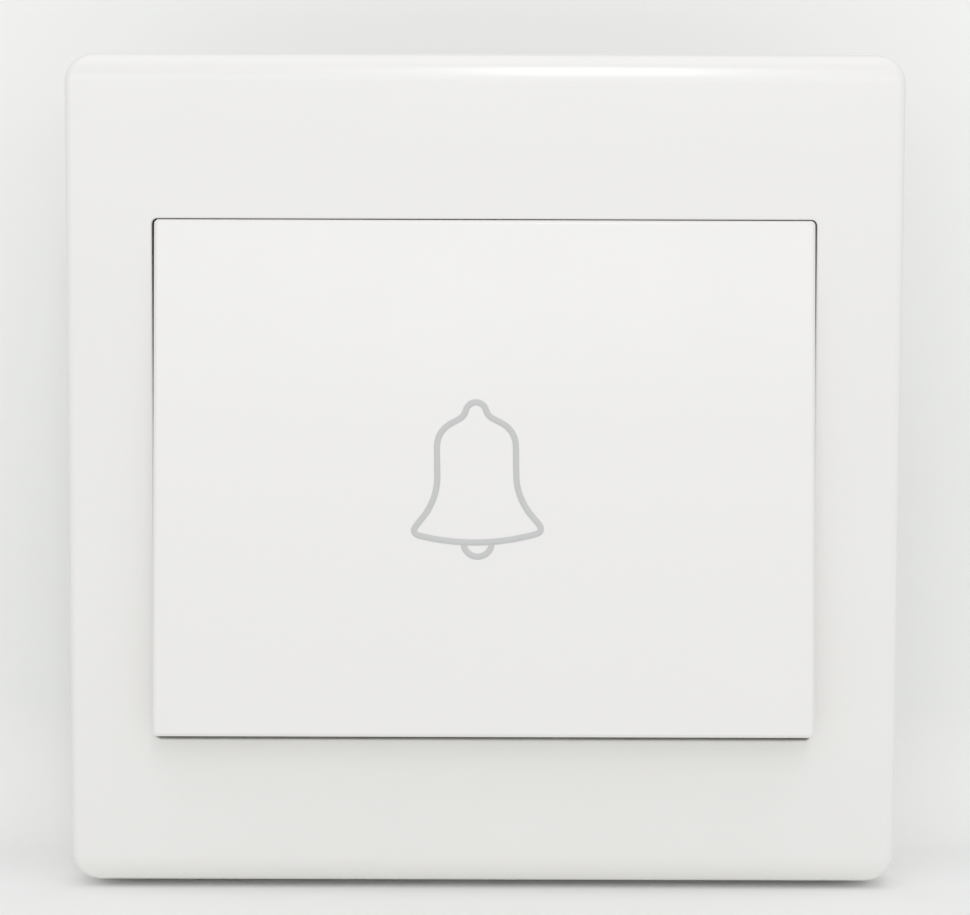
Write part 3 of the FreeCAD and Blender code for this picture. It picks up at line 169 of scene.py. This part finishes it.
def emboss(tree, shader, marks, depth):
    """Gives the shader's surface a relief of fine marks. The depth is in millimetres."""
    relief = {"Strength": 1.0, "Distance": depth * MM}
    bump = add(tree, "ShaderNodeBump", relief, {"Height": marks.outputs["Fac"]})
    tree.links.new(bump.outputs["Normal"], shader.inputs["Normal"])


def moulded_plastic(name, shade, patch_shade, roughness, grain, depth, index):
    """Injection-moulded plastic: a fine spark-eroded grain, and very faint patches of tone and gloss.

    The grain's size and depth are in millimetres.
    """
    material, tree, shader = shader_of(name)
    set_up(shader, Base_Color=linear(shade), Roughness=roughness, IOR=index)
    where = add(tree, "ShaderNodeTexCoord").outputs["Object"]
    patches = noise(tree, where, PLASTIC_PATCH, 2.0).outputs["Fac"]
    tint(tree, shader, patches, shade, patch_shade)
    gloss = {"To Min": roughness - PLASTIC_STRAY, "To Max": roughness + PLASTIC_STRAY}
    vary_gloss(tree, shader, patches, {"From Min": 0.3, "From Max": 0.7, **gloss})
    emboss(tree, shader, noise(tree, where, grain, 3.0, Roughness=0.6), depth)
    return material


def worked_metal(name, shade, dull_shade, roughness, patch, scratch, depth):
    """Metal that was rolled, stamped or turned: patches of tarnish, and fine marks drawn out along X.

    The patches, the marks and their depth are in millimetres.
    """
    material, tree, shader = shader_of(name)
    set_up(shader, Base_Color=linear(shade), Roughness=roughness, Metallic=1.0)
    where = add(tree, "ShaderNodeTexCoord").outputs["Object"]
    patches = noise(tree, where, patch, 4.0).outputs["Fac"]
    dull = add(tree, "ShaderNodeMapRange", {"From Min": 0.45, "From Max": 0.75}, {"Value": patches})
    tint(tree, shader, dull.outputs["Result"], shade, dull_shade)
    gloss = {"To Min": roughness - 0.05, "To Max": roughness + 0.15}
    vary_gloss(tree, shader, dull.outputs["Result"], gloss)
    drawn = add(tree, "ShaderNodeMapping", {"Scale": (0.06, 1.0, 1.0)}, {"Vector": where})
    emboss(tree, shader, noise(tree, drawn.outputs["Vector"], scratch, 2.0), depth)
    return material


# White polycarbonate, moulded in a finely grained tool: an even satin gloss.
white_polycarbonate = moulded_plastic(
    "polycarbonate_moulded_satin",
    "#EDECEA",
    "#EBEAE8",
    roughness=0.21,
    grain=0.22,
    depth=0.0006,
    index=1.585,
)
# Glass-filled polyamide: duller and a little yellower than the front.
matt_polyamide = moulded_plastic(
    "polyamide_moulded_matt", "#DEDED8", "#D8D8D1", roughness=0.55, grain=0.35, depth=0.004, index=1.53
)
# Urea housing: pressed rather than moulded, with a dry look.
urea_housing = moulded_plastic(
    "urea_pressed_housing", "#D2D3D0", "#CBCCC8", roughness=0.5, grain=0.4, depth=0.004, index=1.55
)
# Acetal: a waxy white.
waxy_acetal = moulded_plastic(
    "acetal_moulded", "#E6E6DF", "#E0E0D8", roughness=0.38, grain=0.3, depth=0.001, index=1.48
)
# Pad-printed ink: a thin dull film of light grey.
pad_printed_ink = moulded_plastic(
    "ink_pad_printed", "#C7C8C8", "#C4C5C5", roughness=0.5, grain=0.12, depth=0.002, index=1.5
)
# Half-hard brass strip: stamped, with light brown tarnish in patches.
stamped_brass = worked_metal(
    "brass_stamped", "#D9B56A", "#B8924C", roughness=0.33, patch=2.5, scratch=0.06, depth=0.002
)
# Fine silver rivets: bright, with a first grey bloom.
silver_rivet = worked_metal(
    "silver_headed", "#E4E3DE", "#BDBAB2", roughness=0.22, patch=1.2, scratch=0.05, depth=0.001
)
# Zinc-plated steel: bluish and slightly cloudy.
zinc_steel = worked_metal(
    "steel_zinc_plated", "#C9CDD2", "#A9AEB4", roughness=0.33, patch=1.5, scratch=0.08, depth=0.002
)
# Spring wire: drawn bright.
spring_wire = worked_metal(
    "spring_steel_drawn", "#B9BBBD", "#94969A", roughness=0.25, patch=1.0, scratch=0.04, depth=0.001
)

FINISHES = {
    matt_polyamide: ["rocker_cradle"],
    waxy_acetal: ["plunger"],
    stamped_brass: [
        "contact_bridge",
        "left_contact_strip",
        "right_contact_strip",
        "left_terminal_clamp",
        "right_terminal_clamp",
    ],
    silver_rivet: [
        "left_bridge_contact",
        "right_bridge_contact",
        "left_fixed_contact",
        "right_fixed_contact",
    ],
}
for finish, names in FINISHES.items():
    for name in names:
        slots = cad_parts[name].data.materials
        slots.clear()
        slots.append(finish)


def grid_mesh(name, points, closed_along, closed_round, caps=False):
    """A mesh from a grid of points, with rows along the first index and columns round the second.

    A closed grid joins its last row or column to its first. Caps close the open ends with one face each.
    """
    rows, columns = points.shape[:2]
    number = np.arange(rows * columns).reshape(rows, columns)
    if closed_along:
        number = np.vstack([number, number[:1]])
    if closed_round:
        number = np.hstack([number, number[:, :1]])
    corners = [number[:-1, :-1], number[1:, :-1], number[1:, 1:], number[:-1, 1:]]
    faces = np.stack(corners, axis=-1).reshape(-1, 4).tolist()
    if caps:
        ring = np.arange(columns)
        faces += [ring.tolist(), (ring[::-1] + (rows - 1) * columns).tolist()]
    mesh = bpy.data.meshes.new(name)
    mesh.from_pydata((points.reshape(-1, 3) * MM).tolist(), [], faces)
    mesh.validate()
    mesh.shade_smooth()
    return mesh


def piece(name, mesh, material, body, replaced=None):
    """An object from the mesh, with its normals outwards, its finish and its body.

    Where it stands for a node of the solid part, that node is named as replaced.
    """
    work = bmesh.new()
    work.from_mesh(mesh)
    bmesh.ops.recalc_face_normals(work, faces=work.faces)
    if work.calc_volume(signed=True) < 0:
        bmesh.ops.reverse_faces(work, faces=work.faces)
    work.to_mesh(mesh)
    work.free()
    made = bpy.data.objects.new(name, mesh)
    bpy.context.scene.collection.objects.link(made)
    mesh.materials.append(material)
    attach(made, body)
    if replaced:
        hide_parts(replaced)
    return made


def sharpened_reach(across, up):
    """How much farther out a point of a key's corner goes, for its place as seen from the corner's centre.

    The old outline is a quarter circle of radius b round that centre. The new one has straight ends, and a
    quarter circle of radius n whose centre is b - n out along both sides. The answer is the new outline's
    distance over b. It is 1 at both ends of the quarter, so nothing tears there.
    """
    length = math.hypot(across, up)
    cosine = across / length
    sine = up / length
    shift = KEY_CORNER_BEFORE - KEY_CORNER
    reach = KEY_CORNER_BEFORE / max(cosine, sine)
    if reach * min(cosine, sine) > shift:
        along = shift * (cosine + sine)
        reach = along + math.sqrt(along**2 - 2 * shift**2 + KEY_CORNER**2)
    return reach / KEY_CORNER_BEFORE


def sharpen_key(work):
    """Give the key's four upright corners a smaller radius, in the key's own leaning plane."""
    lean = math.radians(KEY_TILT)
    upward = Vector((0.0, math.sin(lean), math.cos(lean)))
    heights = [vertex.co.dot(upward) / MM for vertex in work.verts]
    half_across = max(abs(vertex.co.x) for vertex in work.verts) / MM
    middle = (max(heights) + min(heights)) / 2
    half_up = (max(heights) - min(heights)) / 2
    for vertex, height in zip(work.verts, heights):
        across = abs(vertex.co.x) / MM - (half_across - KEY_CORNER_BEFORE)
        up = abs(height - middle) - (half_up - KEY_CORNER_BEFORE)
        if min(across, up) > 0:
            growth = (sharpened_reach(across, up) - 1) * MM
            vertex.co.x += math.copysign(growth * across, vertex.co.x)
            vertex.co += upward * math.copysign(growth * up, height - middle)


def softened(name, node, width, material, body, reshape=None):
    """A node's shape with its sharp edges rounded over.

    The copy's loose triangles are merged, a reshape moves its points where one is given, and triangles that
    lie in one plane are joined. Then every edge that turns by more than the sharp angle is bevelled, to the
    width in millimetres, and the normals are weighted by area, so that flats stay flat.
    """
    work = bmesh.new()
    work.from_mesh(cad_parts[node].data)
    bmesh.ops.remove_doubles(work, verts=work.verts, dist=MERGE_DISTANCE * MM)
    if reshape:
        reshape(work)
    bmesh.ops.dissolve_limit(work, angle_limit=FLAT_ANGLE, verts=work.verts, edges=work.edges)
    mesh = bpy.data.meshes.new(name)
    work.to_mesh(mesh)
    work.free()
    if "NORMAL" in mesh.attributes:
        mesh.attributes.remove(mesh.attributes["NORMAL"])
    mesh.shade_smooth()
    made = piece(name, mesh, material, body, node)
    rounding = made.modifiers.new("edge_round", "BEVEL")
    rounding.width = width * MM
    rounding.segments = BEVEL_STEPS
    rounding.limit_method = "ANGLE"
    rounding.angle_limit = SHARP_ANGLE
    rounding.miter_outer = "MITER_ARC"
    weighting = made.modifiers.new("flat_weight", "WEIGHTED_NORMAL")
    weighting.keep_sharp = False
    return made


def rounded_walk(half_across, half_up, middle, radius):
    """A walk round a rounded rectangle: for each step the centre it turns about, and its outward direction.

    A corner turns about one point. Along a side the centre slides from one corner's to the next, in equal
    steps.
    """
    corner = (half_across - radius, half_up - radius)
    signs = [(1, 1), (-1, 1), (-1, -1), (1, -1)]
    anchors = []
    directions = []
    for quarter in range(4):
        angles = np.linspace(quarter * np.pi / 2, (quarter + 1) * np.pi / 2, ARC_STEPS + 1)
        centre = np.multiply(signs[quarter], corner) + middle
        following = np.multiply(signs[(quarter + 1) % 4], corner) + middle
        share = np.arange(1, SIDE_STEPS)[:, None] / SIDE_STEPS
        anchors.append(np.repeat(centre[None], ARC_STEPS + 1, axis=0))
        anchors.append(centre + (following - centre) * share)
        directions.append(np.stack([np.cos(angles), np.sin(angles)], axis=1))
        directions.append(np.repeat(directions[-1][-1:], SIDE_STEPS - 1, axis=0))
    return np.concatenate(anchors), np.concatenate(directions)


def shoulder_drop(height):
    """How far the frame's face has fallen back at a height.

    It is the sagitta of one large arc, beyond the shoulder's start. The arc is cut off just short of its
    radius.
    """
    radius = (SHOULDER_HEIGHT**2 + SHOULDER_DROP**2) / (2 * SHOULDER_DROP)
    beyond = np.clip(np.abs(height) - (PLATE_HALF - SHOULDER_HEIGHT), 0, radius * 0.999)
    return radius - np.sqrt(radius**2 - beyond**2)


def frame_mesh():
    """The frame: one closed section, carried round the plate.

    At each step round, the section climbs the outer wall, turns over a rolling-ball round on to the shoulder
    and crosses the face to the opening's lip. Then it goes down the collar and back under the face to the
    rim.
    The ball's centre is found by halving: its distance in from the wall is its radius.
    """
    outer, ahead = rounded_walk(PLATE_HALF, PLATE_HALF, (0.0, 0.0), PLATE_CORNER)
    inner, _ = rounded_walk(*OPENING_HALF, OPENING_MIDDLE, OPENING_CORNER)
    step = 0.01
    halvings = 30
    short_of_corner = 0.06

    def level_at(depth):
        return FACE_LEVEL - shoulder_drop(outer[:, 1] + (PLATE_CORNER - depth) * ahead[:, 1])

    def slope_at(depth):
        return np.arctan((level_at(depth + step) - level_at(depth - step)) / (2 * step))

    low = np.zeros(len(outer))
    high = np.full(len(outer), EDGE_ROUND)
    for _ in range(halvings):
        middle = (low + high) / 2
        inside = middle + EDGE_ROUND * np.sin(slope_at(middle)) < EDGE_ROUND
        low = np.where(inside, middle, low)
        high = np.where(inside, high, middle)
    touch = (low + high) / 2
    slope = slope_at(touch)
    ball = level_at(touch) - EDGE_ROUND * np.cos(slope)

    rows = []

    def row_at(centres, radius, level):
        plan = centres + np.broadcast_to(radius, len(centres))[:, None] * ahead
        return np.column_stack([plan[:, 0], -np.broadcast_to(level, len(centres)), plan[:, 1]])

    def from_wall(depth, level):
        rows.append(row_at(outer, PLATE_CORNER - depth, level))

    def from_opening(depth, level):
        rows.append(row_at(inner, OPENING_CORNER + depth, level))

    def towards(start, stop, shares):
        for share in shares:
            rows.append(start + (stop - start) * share)

    quarter = np.linspace(0, np.pi / 2, 5)
    for angle in quarter:
        from_wall(RIM_ROUND * (1 - np.sin(angle)), RIM_ROUND * (1 - np.cos(angle)))
    for share in (0.02, 0.35, 0.7, 0.97):
        from_wall(0.0, RIM_ROUND + (ball - RIM_ROUND) * share)
    for share in np.linspace(0, 1, 13):
        turned = share * (np.pi / 2 - slope)
        from_wall(EDGE_ROUND * (1 - np.cos(turned)), ball + EDGE_ROUND * np.sin(turned))
    for share in (0.03, 0.1, 0.2, 0.3, 0.4, 0.5, 0.6, 0.7, 0.8, 0.9, 0.97, 1.0):
        depth = touch + (PLATE_CORNER - short_of_corner - touch) * share
        from_wall(depth, level_at(depth))
    lip = row_at(inner, OPENING_CORNER + LIP_ROUND * 1.25, FACE_LEVEL)
    towards(rows[-1], lip, (0.01, 0.25, 0.5, 0.75, 1.0))
    for angle in np.linspace(0, np.pi / 2, 7):
        from_opening(LIP_ROUND * (1 - np.sin(angle)), FACE_LEVEL - LIP_ROUND * (1 - np.cos(angle)))
    collar_front = FACE_LEVEL - LIP_ROUND
    collar_back = COLLAR_LEVEL + RIM_ROUND
    for share in (0.03, 0.5, 0.97):
        from_opening(0.0, collar_front + (collar_back - collar_front) * share)
    for angle in quarter:
        from_opening(RIM_ROUND * (1 - np.cos(angle)), COLLAR_LEVEL + RIM_ROUND * (1 - np.sin(angle)))
    for angle in quarter:
        depth = COLLAR_WALL - RIM_ROUND * (1 - np.sin(angle))
        from_opening(depth, COLLAR_LEVEL + RIM_ROUND * (1 - np.cos(angle)))
    under = FACE_LEVEL - FRAME_WALL
    for share in (0.03, 0.97, 1.0):
        from_opening(COLLAR_WALL, collar_back + (under - collar_back) * share)
    wall = row_at(outer, PLATE_CORNER - FRAME_WALL, under)
    towards(rows[-1], wall, (0.01, 0.5, 0.99, 1.0))
    for share in (0.02, 0.5, 0.98):
        from_wall(FRAME_WALL, under + (RIM_ROUND - under) * share)
    for angle in quarter:
        from_wall(FRAME_WALL - RIM_ROUND * (1 - np.cos(angle)), RIM_ROUND * (1 - np.sin(angle)))
    return grid_mesh("frame_moulding", np.stack(rows), True, True)


def key_place(across, level, height):
    """Points in the key's own frame, turned to its rest tilt about the pivot."""
    tilt = math.radians(KEY_TILT)
    out = level * math.cos(tilt) - height * math.sin(tilt)
    up = level * math.sin(tilt) + height * math.cos(tilt)
    return np.stack([across, -(PIVOT_LEVEL + out), PIVOT_HEIGHT + up], axis=-1)


# The printed bell, in millimetres from its own middle: a knob, round shoulders, straight sides, a flared
# mouth with a lip, and a clapper. The two films differ in height, so that their tops don't lie in one plane.
BELL_STROKE = 0.62
BELL_FILM = 0.04
CLAPPER_FILM = 0.036
BELL_CENTRE = (-0.74, 0.12)
BELL_TURN = 0.9
KNOB_RADIUS = 1.07
KNOB_TOP = 7.8
NECK_HALF = 1.39
SIDE_HALF = 4.04
SHOULDER_RADIUS = 2.6
SHOULDER_TURN = math.radians(62)
SHOULDER_RISE = 3.3
WAIST = 0.3
FLARE_RADIUS = 6.6
FLARE_ANGLE = math.radians(40)
MOUTH_HALF = 6.47
LIP_WIDTH = 0.55
LIP_DROP = 0.8
MOUTH_LOW = -6.57
CLAPPER_RADIUS = 1.45


def arc(centre, radius, start, stop, steps):
    """Points along an arc, between two angles in radians."""
    angles = np.linspace(start, stop, steps)
    return np.stack([centre[0] + radius * np.cos(angles), centre[1] + radius * np.sin(angles)], axis=1)


def bell_half():
    """The right half of the bell's line, from the top of its knob down to the middle of its mouth."""
    crown_x = SIDE_HALF - SHOULDER_RADIUS * (1 - math.cos(SHOULDER_TURN))
    crown_y = SHOULDER_RISE + SHOULDER_RADIUS * math.sin(SHOULDER_TURN)
    neck_y = crown_y + (crown_x - NECK_HALF) / math.tan(SHOULDER_TURN)
    flare_x = SIDE_HALF + FLARE_RADIUS * (1 - math.cos(FLARE_ANGLE))
    flare_y = WAIST - FLARE_RADIUS * math.sin(FLARE_ANGLE)
    mouth_y = flare_y - (MOUTH_HALF - flare_x) / math.tan(FLARE_ANGLE)
    lip_x = MOUTH_HALF - LIP_WIDTH
    lip_y = mouth_y - LIP_DROP
    drop = lip_y - MOUTH_LOW
    big = (lip_x**2 + drop**2) / (2 * drop)
    reach = math.asin(lip_x / big)
    share = np.linspace(0, 1, 12)[:, None]
    upper = np.array([MOUTH_HALF, mouth_y])
    pulled = np.array([MOUTH_HALF + LIP_WIDTH * 0.4, lip_y + LIP_DROP * 0.1])
    lower = np.array([lip_x, lip_y])
    curl = (1 - share) ** 2 * upper + 2 * share * (1 - share) * pulled + share**2 * lower
    runs = [
        arc((0, KNOB_TOP - KNOB_RADIUS), KNOB_RADIUS, math.pi / 2, 0, 16),
        np.linspace((NECK_HALF, neck_y), (crown_x, crown_y), 8),
        arc((SIDE_HALF - SHOULDER_RADIUS, SHOULDER_RISE), SHOULDER_RADIUS, SHOULDER_TURN, 0, 18)[1:],
        np.linspace((SIDE_HALF, SHOULDER_RISE), (SIDE_HALF, WAIST), 10)[1:],
        arc((SIDE_HALF + FLARE_RADIUS, WAIST), FLARE_RADIUS, math.pi, math.pi + FLARE_ANGLE, 20)[1:],
        np.linspace((flare_x, flare_y), (MOUTH_HALF, mouth_y), 6)[1:],
        curl[1:],
        arc((0, MOUTH_LOW + big), big, -math.pi / 2 + reach, -math.pi / 2, 20)[1:],
    ]
    return np.concatenate(runs)


def ribbon(name, line, film, closed):
    """A printed line: a low flat-topped section, carried along the line on the key's face.

    Each point is moved to both sides along the line's own normal, by shares of the stroke. The section's
    points are lifted off the face by shares of the film.
    """
    if closed:
        along = np.roll(line, -1, axis=0) - np.roll(line, 1, axis=0)
    else:
        along = np.gradient(line, axis=0)
    along /= np.linalg.norm(along, axis=1)[:, None]
    aside = np.stack([-along[:, 1], along[:, 0]], axis=1)
    offsets = np.array([-0.5, -0.47, 0.47, 0.5, 0.5, -0.5]) * BELL_STROKE
    lifts = np.array([0.6, 1.0, 1.0, 0.6, 0.02, 0.02]) * film
    plan = line[:, None, :] + aside[:, None, :] * offsets[None, :, None]
    turn = math.radians(BELL_TURN)
    across = BELL_CENTRE[0] + plan[..., 0] * math.cos(turn) - plan[..., 1] * math.sin(turn)
    height = BELL_CENTRE[1] + plan[..., 0] * math.sin(turn) + plan[..., 1] * math.cos(turn)
    level = KEY_FRONT + np.broadcast_to(lifts, across.shape)
    return grid_mesh(name, key_place(across, level, height), closed, True, caps=not closed)


def clapper_line():
    """The half circle of the clapper. It starts and ends under the mouth's line, and is a little thinner."""
    start = math.asin(BELL_STROKE * 0.2 / CLAPPER_RADIUS)
    return arc((0, MOUTH_LOW), CLAPPER_RADIUS, math.pi + start, 2 * math.pi - start, 40)


def bell_outline():
    """The whole line of the bell: the right half, and its mirror image walked back up.

    Its points are spread evenly along it, and each is moved a little towards its neighbours' middle.
    """
    half = bell_half()
    whole = np.concatenate([half, half[::-1][1:] * (-1, 1)])
    steps = np.linalg.norm(np.diff(whole, axis=0), axis=1)
    whole = whole[np.append(True, steps > 1e-6)]
    walked = np.append(0, np.cumsum(np.linalg.norm(np.diff(whole, axis=0), axis=1)))
    places = np.linspace(0, walked[-1], BELL_POINTS, endpoint=False)
    even = np.stack([np.interp(places, walked, whole[:, axis]) for axis in (0, 1)], axis=1)
    for _ in range(BELL_SMOOTHINGS):
        even = (np.roll(even, 1, axis=0) + 2 * even + np.roll(even, -1, axis=0)) / 4
    return even


def coil(name, centre, radius, wire, low, high, turns):
    """A coil spring along Y, with its end turns closed up.

    The line's angle grows evenly. For the share t of the way, its rise is t - 0.75 sin(2 pi t) / (2 pi),
    which makes the pitch at both ends a quarter of the even one. A ring of points is carried along it, in
    the plane of the line's radius and its rise.
    """
    steps = int(turns * COIL_STEPS)
    share = np.linspace(0, 1, steps + 1)
    angle = 2 * np.pi * turns * share
    eased = share - np.sin(2 * np.pi * share) / (2 * np.pi) * 0.75
    rise = low + wire + (high - low - 2 * wire) * eased
    ring = np.linspace(0, 2 * np.pi, WIRE_SIDES, endpoint=False)
    out = radius + wire * np.cos(ring)[None, :]
    x = centre[0] + out * np.cos(angle)[:, None]
    z = centre[1] + out * np.sin(angle)[:, None]
    y = rise[:, None] + wire * np.sin(ring)[None, :]
    return grid_mesh(name, np.stack([x, y + 0 * x, z], axis=-1), False, True, caps=True)


def snap_arm(side, height):
    """One snap arm at the right (side 1) or the left (side -1): its outline in plan, at its two ends."""
    outer = HOOK_INNER + HOOK_THICKNESS
    tip = outer + HOOK_CATCH
    root = FACE_LEVEL - FRAME_WALL + HOOK_ROOT
    outline = np.array([
        (HOOK_INNER, root),
        (HOOK_INNER, HOOK_TIP),
        (outer + 0.3 * HOOK_CATCH, HOOK_TIP),
        (tip, HOOK_TIP + 1.3 * HOOK_CATCH),
        (tip, HOOK_TIP + 1.7 * HOOK_CATCH),
        (outer, HOOK_TIP + 1.9 * HOOK_CATCH),
        (outer, root),
    ])
    ends = np.array([height - HOOK_HALF, height + HOOK_HALF])
    x = np.broadcast_to(side * outline[:, 0], (2, len(outline)))
    y = np.broadcast_to(-outline[:, 1], (2, len(outline)))
    z = np.broadcast_to(ends[:, None], (2, len(outline)))
    return np.stack([x, y, z], axis=-1)


def snap_arms_mesh():
    """The four snap arms in one mesh."""
    work = bmesh.new()
    for side in (1, -1):
        for height in (HOOK_AT, -HOOK_AT):
            one = grid_mesh("snap_arm", snap_arm(side, height), False, True, caps=True)
            work.from_mesh(one)
            bpy.data.meshes.remove(one)
    mesh = bpy.data.meshes.new("snap_arms")
    work.to_mesh(mesh)
    work.free()
    return mesh


piece("frame_moulding", frame_mesh(), white_polycarbonate, "base", "cover_frame")
bell_mesh = ribbon("bell_line", bell_outline(), BELL_FILM, True)
clapper_mesh = ribbon("bell_clapper", clapper_line(), CLAPPER_FILM, False)
piece("bell_line", bell_mesh, pad_printed_ink, "key", "bell_print")
piece("bell_clapper", clapper_mesh, pad_printed_ink, "key")
piece("snap_arms", snap_arms_mesh(), white_polycarbonate, "base")
softened("key_moulding", "push_key", 0.12, white_polycarbonate, "key", reshape=sharpen_key)
softened("base_moulding", "base_plate", 0.15, matt_polyamide, "base")
softened("housing_moulding", "rear_housing", 0.25, urea_housing, "base")
softened("terminal_screw_pair", "terminal_screws", 0.08, zinc_steel, "base")
softened("housing_screw_pair", "housing_screws", 0.15, zinc_steel, "base")

# The return spring round the plunger, in millimetres.
SPRING_BACK = 18.0
SPRING_FRONT = 8.4
SPRING_RADIUS = 2.3
SPRING_WIRE = 0.25
SPRING_TURNS = 5
spring_middle = (0.0, PLUNGER_HEIGHT)
spring_mesh = coil(
    "return_coil", spring_middle, SPRING_RADIUS, SPRING_WIRE, SPRING_FRONT, SPRING_BACK, SPRING_TURNS
)
return_coil = piece("return_coil", spring_mesh, spring_wire, "base", "return_spring")
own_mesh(return_coil)

# The studio, in millimetres: a pale floor and a wall whose foot is curved. Its lights are further down.
FLOOR_HEIGHT = -43.8
WALL_BEHIND = 25.0
SWEEP_RADIUS = 14.0
STAGE_HALF = 900.0
STAGE_REACH = 700.0


def backdrop_paper():
    """Matt backdrop paper. It is clear from behind, so that the other views are not blocked by it."""
    material, tree, shader = shader_of("paper_backdrop")
    set_up(shader, Base_Color=linear("#F6F7F5"), Roughness=0.9, IOR=1.45)
    behind = add(tree, "ShaderNodeNewGeometry").outputs["Backfacing"]
    clear = add(tree, "ShaderNodeBsdfTransparent")
    both = add(tree, "ShaderNodeMixShader", {}, {"Fac": behind})
    tree.links.new(shader.outputs["BSDF"], both.inputs[1])
    tree.links.new(clear.outputs["BSDF"], both.inputs[2])
    tree.links.new(both.outputs["Shader"], tree.nodes["Material Output"].inputs["Surface"])
    return material


def stage_part(name, material, y, z):
    """One part of the stage: a line in the middle plane, carried across the width."""
    x = np.linspace(-STAGE_HALF, STAGE_HALF, 9)
    wide = (len(y), len(x))
    line = [np.broadcast_to(part, wide) for part in (x, y[:, None], z[:, None])]
    mesh = grid_mesh(name, np.stack(line, axis=-1)[:, ::-1], False, False)
    mesh.materials.append(material)
    made = bpy.data.objects.new(name, mesh)
    bpy.context.scene.collection.objects.link(made)
    return made


paper = backdrop_paper()
floor_y = np.array([-STAGE_REACH, -200.0, -50.0, 50.0, 200.0, STAGE_REACH])
stage_part("studio_floor", paper, floor_y, np.full(len(floor_y), FLOOR_HEIGHT))
curve = np.linspace(0, np.pi / 2, 25)
wall_y = np.append(WALL_BEHIND - SWEEP_RADIUS + SWEEP_RADIUS * np.sin(curve), WALL_BEHIND)
wall_z = np.append(SWEEP_RADIUS * (1 - np.cos(curve)), STAGE_REACH) + FLOOR_HEIGHT
wall = stage_part("studio_wall", paper, wall_y, wall_z)

# The wall shows the part's soft shadow, but takes no light away from the back of the part.
wall.visible_diffuse = False
wall.visible_glossy = False
wall.visible_shadow = False


def soft_light(name, place, target, width, depth, power):
    """A rectangular soft light at a place, turned towards a target. Both are in millimetres."""
    light = bpy.data.lights.new(name, "AREA")
    light.shape = "RECTANGLE"
    light.size = width * MM
    light.size_y = depth * MM
    light.energy = power
    made = bpy.data.objects.new(name, light)
    made.location = Vector(place) * MM
    made.rotation_euler = (Vector(target) - Vector(place)).to_track_quat("-Z", "Y").to_euler()
    bpy.context.scene.collection.objects.link(made)
    return made


# A wide light overhead, a narrow tall one that draws the bright line on the upper shoulder, and a low wide
# fill.
soft_light("overhead_light", (30, -160, 420), (0, 0, 0), width=420, depth=260, power=0.27)
soft_light("window_light", (32, -467, 300), (0, 0, 40), width=60, depth=200, power=0.26)
soft_light("front_fill", (0, -500, 125), (0, 0, 0), width=600, depth=130, power=0.24)

world = bpy.data.worlds.new("studio_fill")
world.use_nodes = True
world.node_tree.nodes["Background"].inputs["Color"].default_value = linear("#F5F5F6")
world.node_tree.nodes["Background"].inputs["Strength"].default_value = 0.82
bpy.context.scene.world = world
bpy.context.scene.view_settings.view_transform = "Standard"

camera_data = bpy.data.cameras.new("photo_camera")
camera_data.lens = CAMERA_LENS
camera_data.sensor_width = 36.0
camera_data.clip_start = 0.01
camera_data.clip_end = 10.0
camera = bpy.data.objects.new("photo_camera", camera_data)
pitch = math.radians(CAMERA_PITCH)
away = Vector((0.0, -math.cos(pitch), math.sin(pitch)))
camera.location = (Vector(CAMERA_AIM) + away * CAMERA_DISTANCE) * MM
facing = (-away).to_track_quat("-Z", "Y").to_matrix() @ Matrix.Rotation(math.radians(CAMERA_ROLL), 3, "Z")
camera.rotation_euler = facing.to_euler()
bpy.context.scene.collection.objects.link(camera)
bpy.context.scene.camera = camera
